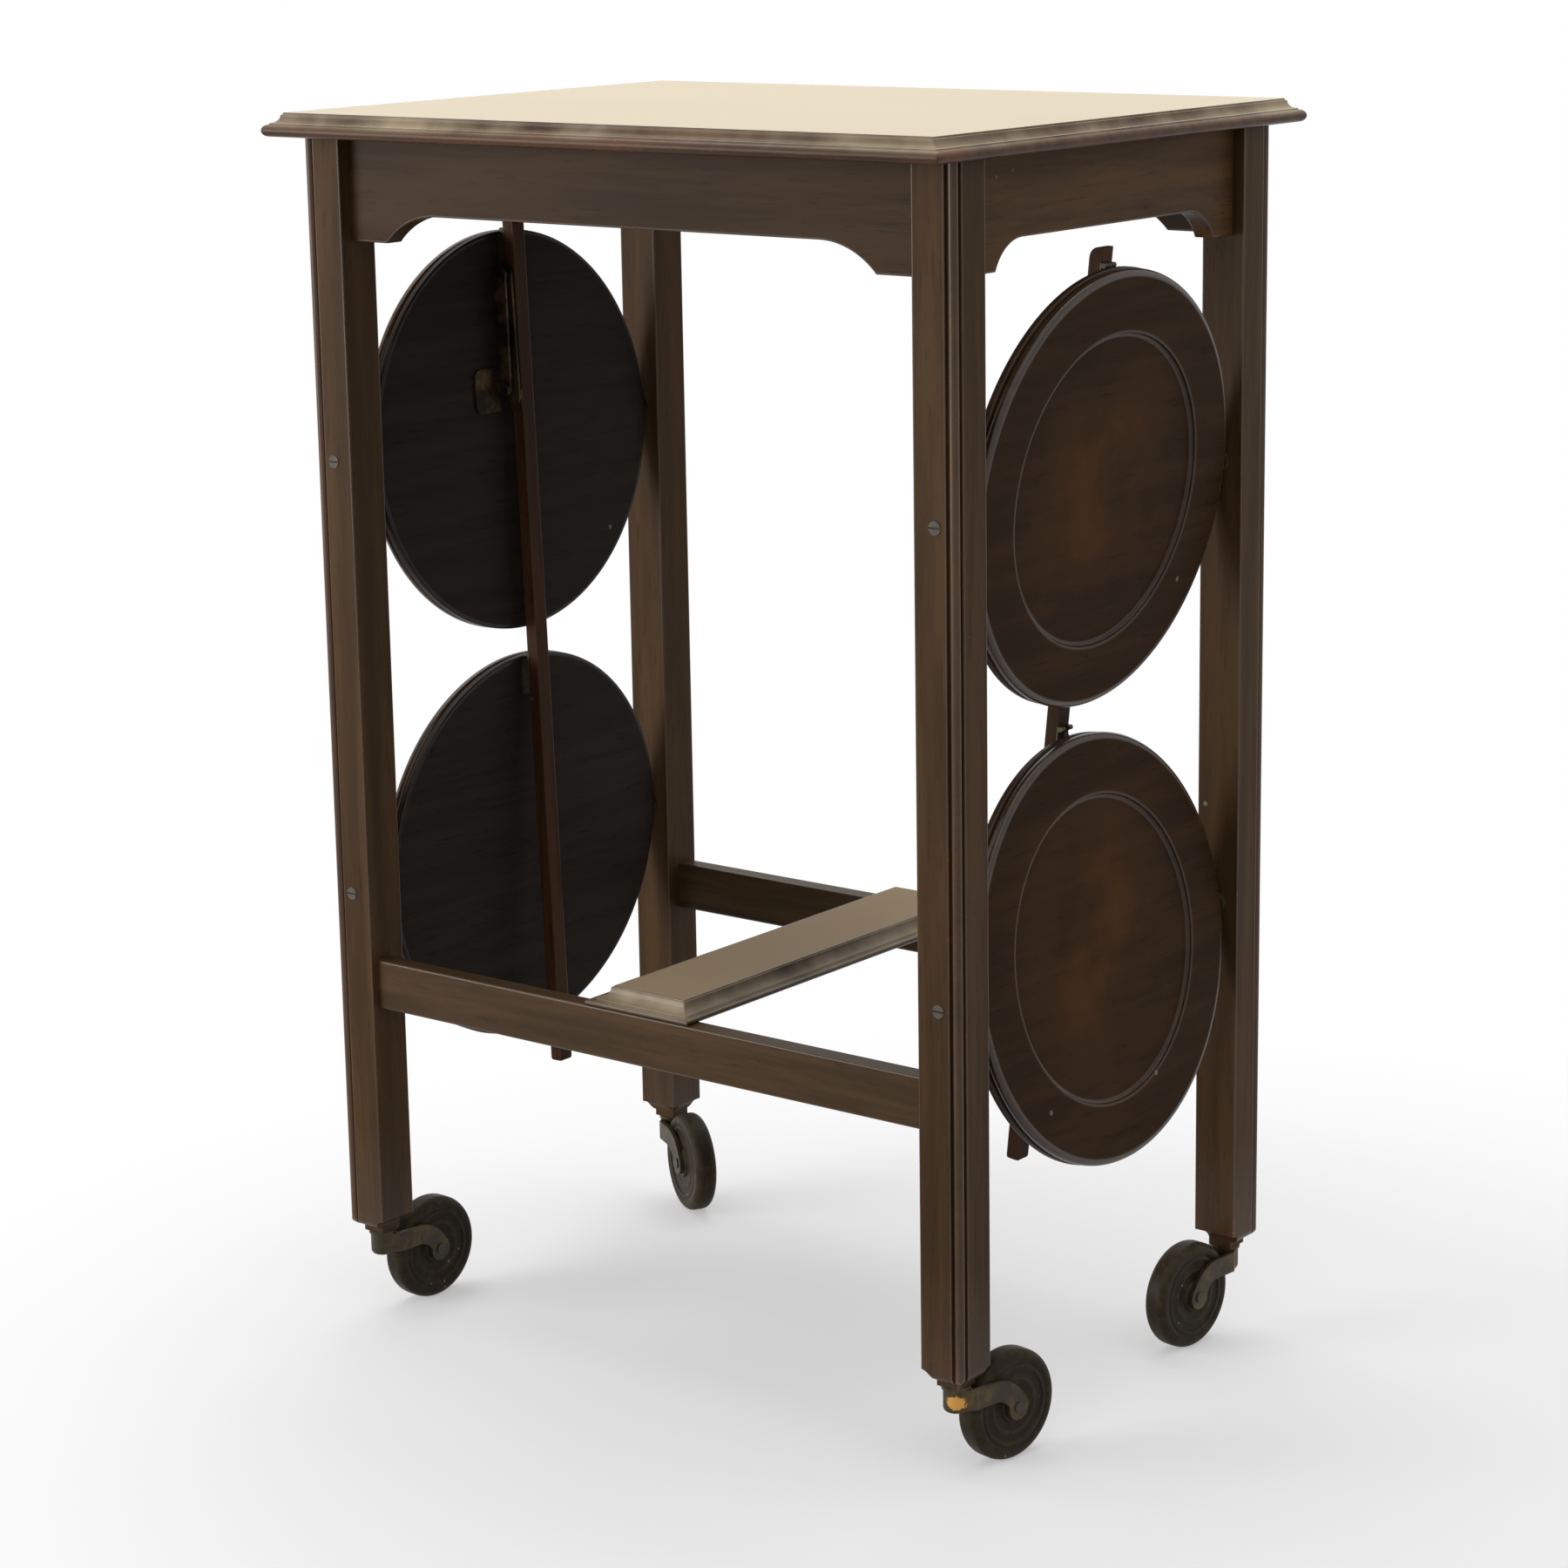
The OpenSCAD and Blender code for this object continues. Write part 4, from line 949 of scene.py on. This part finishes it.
@dataclass
class Wheel:
    """A hard rubber wheel with rings turned into its faces."""

    name: str
    joint: dict[str, Any]
    radius: float = 33.2 * MM
    half: float = 7.5 * MM
    hub_half: float = 8.1 * MM
    hub_r: float = 10 * MM
    tread: float = 4.6 * MM

    def profile(self) -> Array:
        """Radius, height and wear of one face, from the hub out to the tread, then the other face mirrored."""
        h, web = self.half, 0.9 * MM
        hub = [(3.2 * MM, self.hub_half, 0), (self.hub_r - 1.2 * MM, self.hub_half, 0.3)]
        hub += [(*p, 0.3) for p in arc((self.hub_r - 1.0 * MM, self.hub_half - 1.0 * MM), 1.0 * MM, 90, 0, 4)]
        ring = [(self.hub_r + 0.4 * MM, h - web, 0), (15 * MM, h - web, 0), (15.6 * MM, h - web + 0.2 * MM, 0.5)]
        ring += [(17.2 * MM, h - web + 0.2 * MM, 0.5), (17.8 * MM, h - web, 0), (21.2 * MM, h - web, 0)]
        wall = [(*p, 0.4) for p in arc((23.2 * MM, h - 0.8 * MM), 0.8 * MM, 175, 90, 5)]
        low = h - 0.3 * MM
        groove = [(24.6 * MM, h, 0), (25.0 * MM, low, 0), (25.5 * MM, low, 0), (25.9 * MM, h, 0)]
        tread = [(*p, 0.5) for p in arc((self.radius - self.tread, h - self.tread), self.tread, 80, 8, 9)]
        crown = [(self.radius, h - self.tread - 0.8 * MM, 0.2)]
        face = np.array(hub + ring + wall + groove + tread + crown)
        back = face[::-1].copy()
        back[:, 1] *= -1
        return np.concatenate([face, back])

    def build(self, finishes: Finishes) -> None:
        """Adds the wheel: its section turned about the axle."""
        profile = self.profile()
        centre, axle = np.array(self.joint["pos_m"]), np.array(self.joint["axis"])
        up = np.array((0, 0, 1.0))
        across = np.cross(up, axle)

        def place(points: Array) -> Array:
            """Puts the turning axis along the axle, at the wheel's centre."""
            return centre + points[..., :1] * axle + points[..., 1:2] * across + points[..., 2:] * up

        rings = lathe(profile[:, :2], 160, place)
        wear = np.broadcast_to(profile[:, 2:], rings.shape[:2])
        add_piece(
            f"caster_wheel_{self.name}", [Shell(rings, wear)], f"wheel_{self.name}", [finishes["rubber"]],
            (f"wheel_{self.name}",),
        )


@dataclass
class Studio:
    """Camera, lamps, pale floor and world."""

    position: Vector = Vector((1.4692, -1.8638, 0.1452))
    forward: Vector = Vector((-0.60433, 0.76315, -0.22889))
    right: Vector = Vector((0.78623, 0.61772, -0.01629))
    lens: float = 90.86
    sensor: float = 36.0
    floor_z: float = -0.762
    floor_half: float = 40.0
    fill: float = 0.57
    fade_from: tuple[float, float, float] = (0.18, -0.05, 0.0)
    fade: tuple[float, float] = (0.36, 0.84)
    lift: float = 0.35
    lamps: dict[str, tuple[tuple[float, float, float], float, float]] = field(
        default_factory=lambda: {
            "overhead": ((-0.5, 0.5, 2.4), 3.2, 52.0),
            "front": ((-1.9, -2.3, 0.0), 1.8, 45.0),
            "right": ((1.9, -0.3, 1.5), 1.3, 3.0),
        }
    )

    def camera(self) -> None:
        """Puts the camera where the photograph was taken from."""
        data = bpy.data.cameras.new("camera")
        data.lens, data.sensor_width, data.sensor_height = self.lens, self.sensor, self.sensor
        camera = bpy.data.objects.new("camera", data)
        up = self.right.cross(self.forward)
        turn = Matrix((self.right, up, -self.forward)).transposed()
        camera.matrix_world = Matrix.Translation(self.position) @ turn.to_4x4()
        bpy.context.scene.collection.objects.link(camera)
        bpy.context.scene.camera = camera

    def light(self) -> None:
        """Adds the soft lamps, each turned towards the middle of the trolley."""
        aim = Vector((0, 0, -0.35))
        for name, (place, size, power) in self.lamps.items():
            data = bpy.data.lights.new(name, "AREA")
            data.shape, data.size, data.energy = "DISK", size, power
            lamp = bpy.data.objects.new(name, data)
            lamp.location = place
            lamp.rotation_euler = (aim - Vector(place)).to_track_quat("-Z", "Y").to_euler()
            bpy.context.scene.collection.objects.link(lamp)

    def floor(self) -> None:
        """Adds the floor, pale to the camera with the trolley's shadow on it and darker as a bounce.

        The floor turns to plain white away from fade_from, and lift is the share of white at that place.
        """
        mesh = bpy.data.meshes.new("floor")
        h = self.floor_half
        corners = [(x * h, y * h, self.floor_z) for x, y in ((-1, -1), (1, -1), (1, 1), (-1, 1))]
        mesh.from_pydata(corners, [], [(0, 1, 2, 3)])
        floor = bpy.data.objects.new("floor", mesh)
        bpy.context.scene.collection.objects.link(floor)
        material = bpy.data.materials.new("studio_floor")
        material.use_nodes = True
        s = Shader(material.node_tree)
        s.tree.nodes.remove(s.tree.nodes["Principled BSDF"])
        rays = s.node("ShaderNodeLightPath")
        seen = s.math("MAXIMUM", rays.outputs["Is Camera Ray"], rays.outputs["Is Glossy Ray"])
        seen = s.math("MAXIMUM", seen, rays.outputs["Is Transmission Ray"])
        bounced, shown = (0.36, 0.36, 0.36), (0.86, 0.86, 0.86)
        near = s.node("ShaderNodeBsdfDiffuse", {"Color": s.blend(seen, bounced, shown)}).outputs[0]
        white = s.node("ShaderNodeEmission", {"Color": (1, 1, 1, 1), "Strength": 1.0}).outputs[0]
        place = s.stretched((1.0, 1.0, 0.0))
        apart = s.vector("DISTANCE", place, self.fade_from)
        fading = s.ramp(apart.outputs["Value"], *self.fade)
        paler = s.math("ADD", self.lift, s.math("MULTIPLY", fading, 1.0 - self.lift))
        far = s.math("MULTIPLY", paler, seen)
        mixed = s.node("ShaderNodeMixShader", {0: far, 1: near, 2: white}).outputs[0]
        s.tree.links.new(mixed, s.tree.nodes["Material Output"].inputs["Surface"])
        mesh.materials.append(material)

    def world(self) -> None:
        """A world that is white where it is seen, mirrored or let through, and a grey fill otherwise."""
        world = bpy.data.worlds.new("studio")
        world.use_nodes = True
        s = Shader(world.node_tree)
        back = s.tree.nodes["Background"]
        rays = s.node("ShaderNodeLightPath")
        seen = s.math("MAXIMUM", rays.outputs["Is Camera Ray"], rays.outputs["Is Glossy Ray"])
        seen = s.math("MAXIMUM", seen, rays.outputs["Is Transmission Ray"])
        strength = s.math("ADD", self.fill, s.math("MULTIPLY", seen, 1.0 - self.fill))
        back.inputs["Color"].default_value = (1, 1, 1, 1)
        s.tree.links.new(strength, back.inputs["Strength"])
        bpy.context.scene.world = world

    def build(self) -> None:
        """Sets up the whole studio."""
        self.camera()
        self.light()
        self.floor()
        self.world()
        bpy.context.scene.view_settings.view_transform = "Standard"


class Trolley:
    """Builds every piece around the frame's solids."""

    def __init__(self, frame: dict[str, Any]) -> None:
        """Keeps the frame and its joints by name."""
        self.frame = frame
        self.joints = {joint["name"]: joint for joint in frame["joints"]}
        self.finishes = Finishes()

    def dress_solids(self) -> None:
        """Gives each solid that stays visible the finish of its kind."""
        kinds = (
            ("top_blocks", "block"), ("top_screws", "steel"), ("pivot_screws", "steel"), ("axle", "steel"),
            ("hinge_pin", "steel"), ("tray_leaf", "brass"), ("bar_leaves", "brass"), ("stay", "stay"),
            ("pivot_washers", "brass"), ("socket", "brass"), ("horn_front_right", "chipped"), ("horn", "brass"),
            ("wheel", "rubber"), ("tray", "tray"), ("leg", "leg"), ("link_bar", "bar"), ("rail", "rail"),
            ("apron", "along_x"),
        )
        for name, node in self.frame["nodes"].items():
            key = next((key for start, key in kinds if name.startswith(start)), "top")
            self.finishes.dress(node, key)

    def build(self) -> None:
        """Adds all pieces in order."""
        self.dress_solids()
        low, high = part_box("leg_front_right")
        inner_x, inner_y = low.x, -high.y
        slot = "varnished_top"
        top = MouldedBoard("top_board", "moulded_top", "top", slot, 9.5 * MM, 1.2 * MM, 4.75 * MM, 0.8 * MM)
        shelf = MouldedBoard(
            "shelf_board", "moulded_plank", "plank", slot, 12.5 * MM, 0.8 * MM, 6.4 * MM, 0.6 * MM
        )
        for board in (top, shelf):
            board.build(self.finishes)
        corners = {"front_left": (-1, -1), "front_right": (1, -1), "back_left": (-1, 1), "back_right": (1, 1)}
        for name, (side_x, side_y) in corners.items():
            Leg(name, side_x, side_y).build(self.finishes)
            Wheel(name, self.joints[f"wheel_spin_{name}"]).build(self.finishes)
        for name in ("front", "back"):
            Apron(f"apron_{name}", Axis.X, 29.5 * MM, 54 * MM).build(self.finishes, inner_x)
            Rail(f"rail_{name}").build(self.finishes, inner_x)
        for name, sign in (("left", -1), ("right", 1)):
            Apron(f"apron_{name}", Axis.Y, 20.5 * MM, 29 * MM).build(self.finishes, inner_y)
            Side(name, sign, self.joints).build(self.finishes)


def main() -> None:
    """Loads the frame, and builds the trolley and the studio."""
    logging.basicConfig(level=logging.INFO, format="%(name)s: %(message)s")
    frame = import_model()
    Trolley(frame).build()
    Studio().build()


if __name__ == "__main__":
    main()
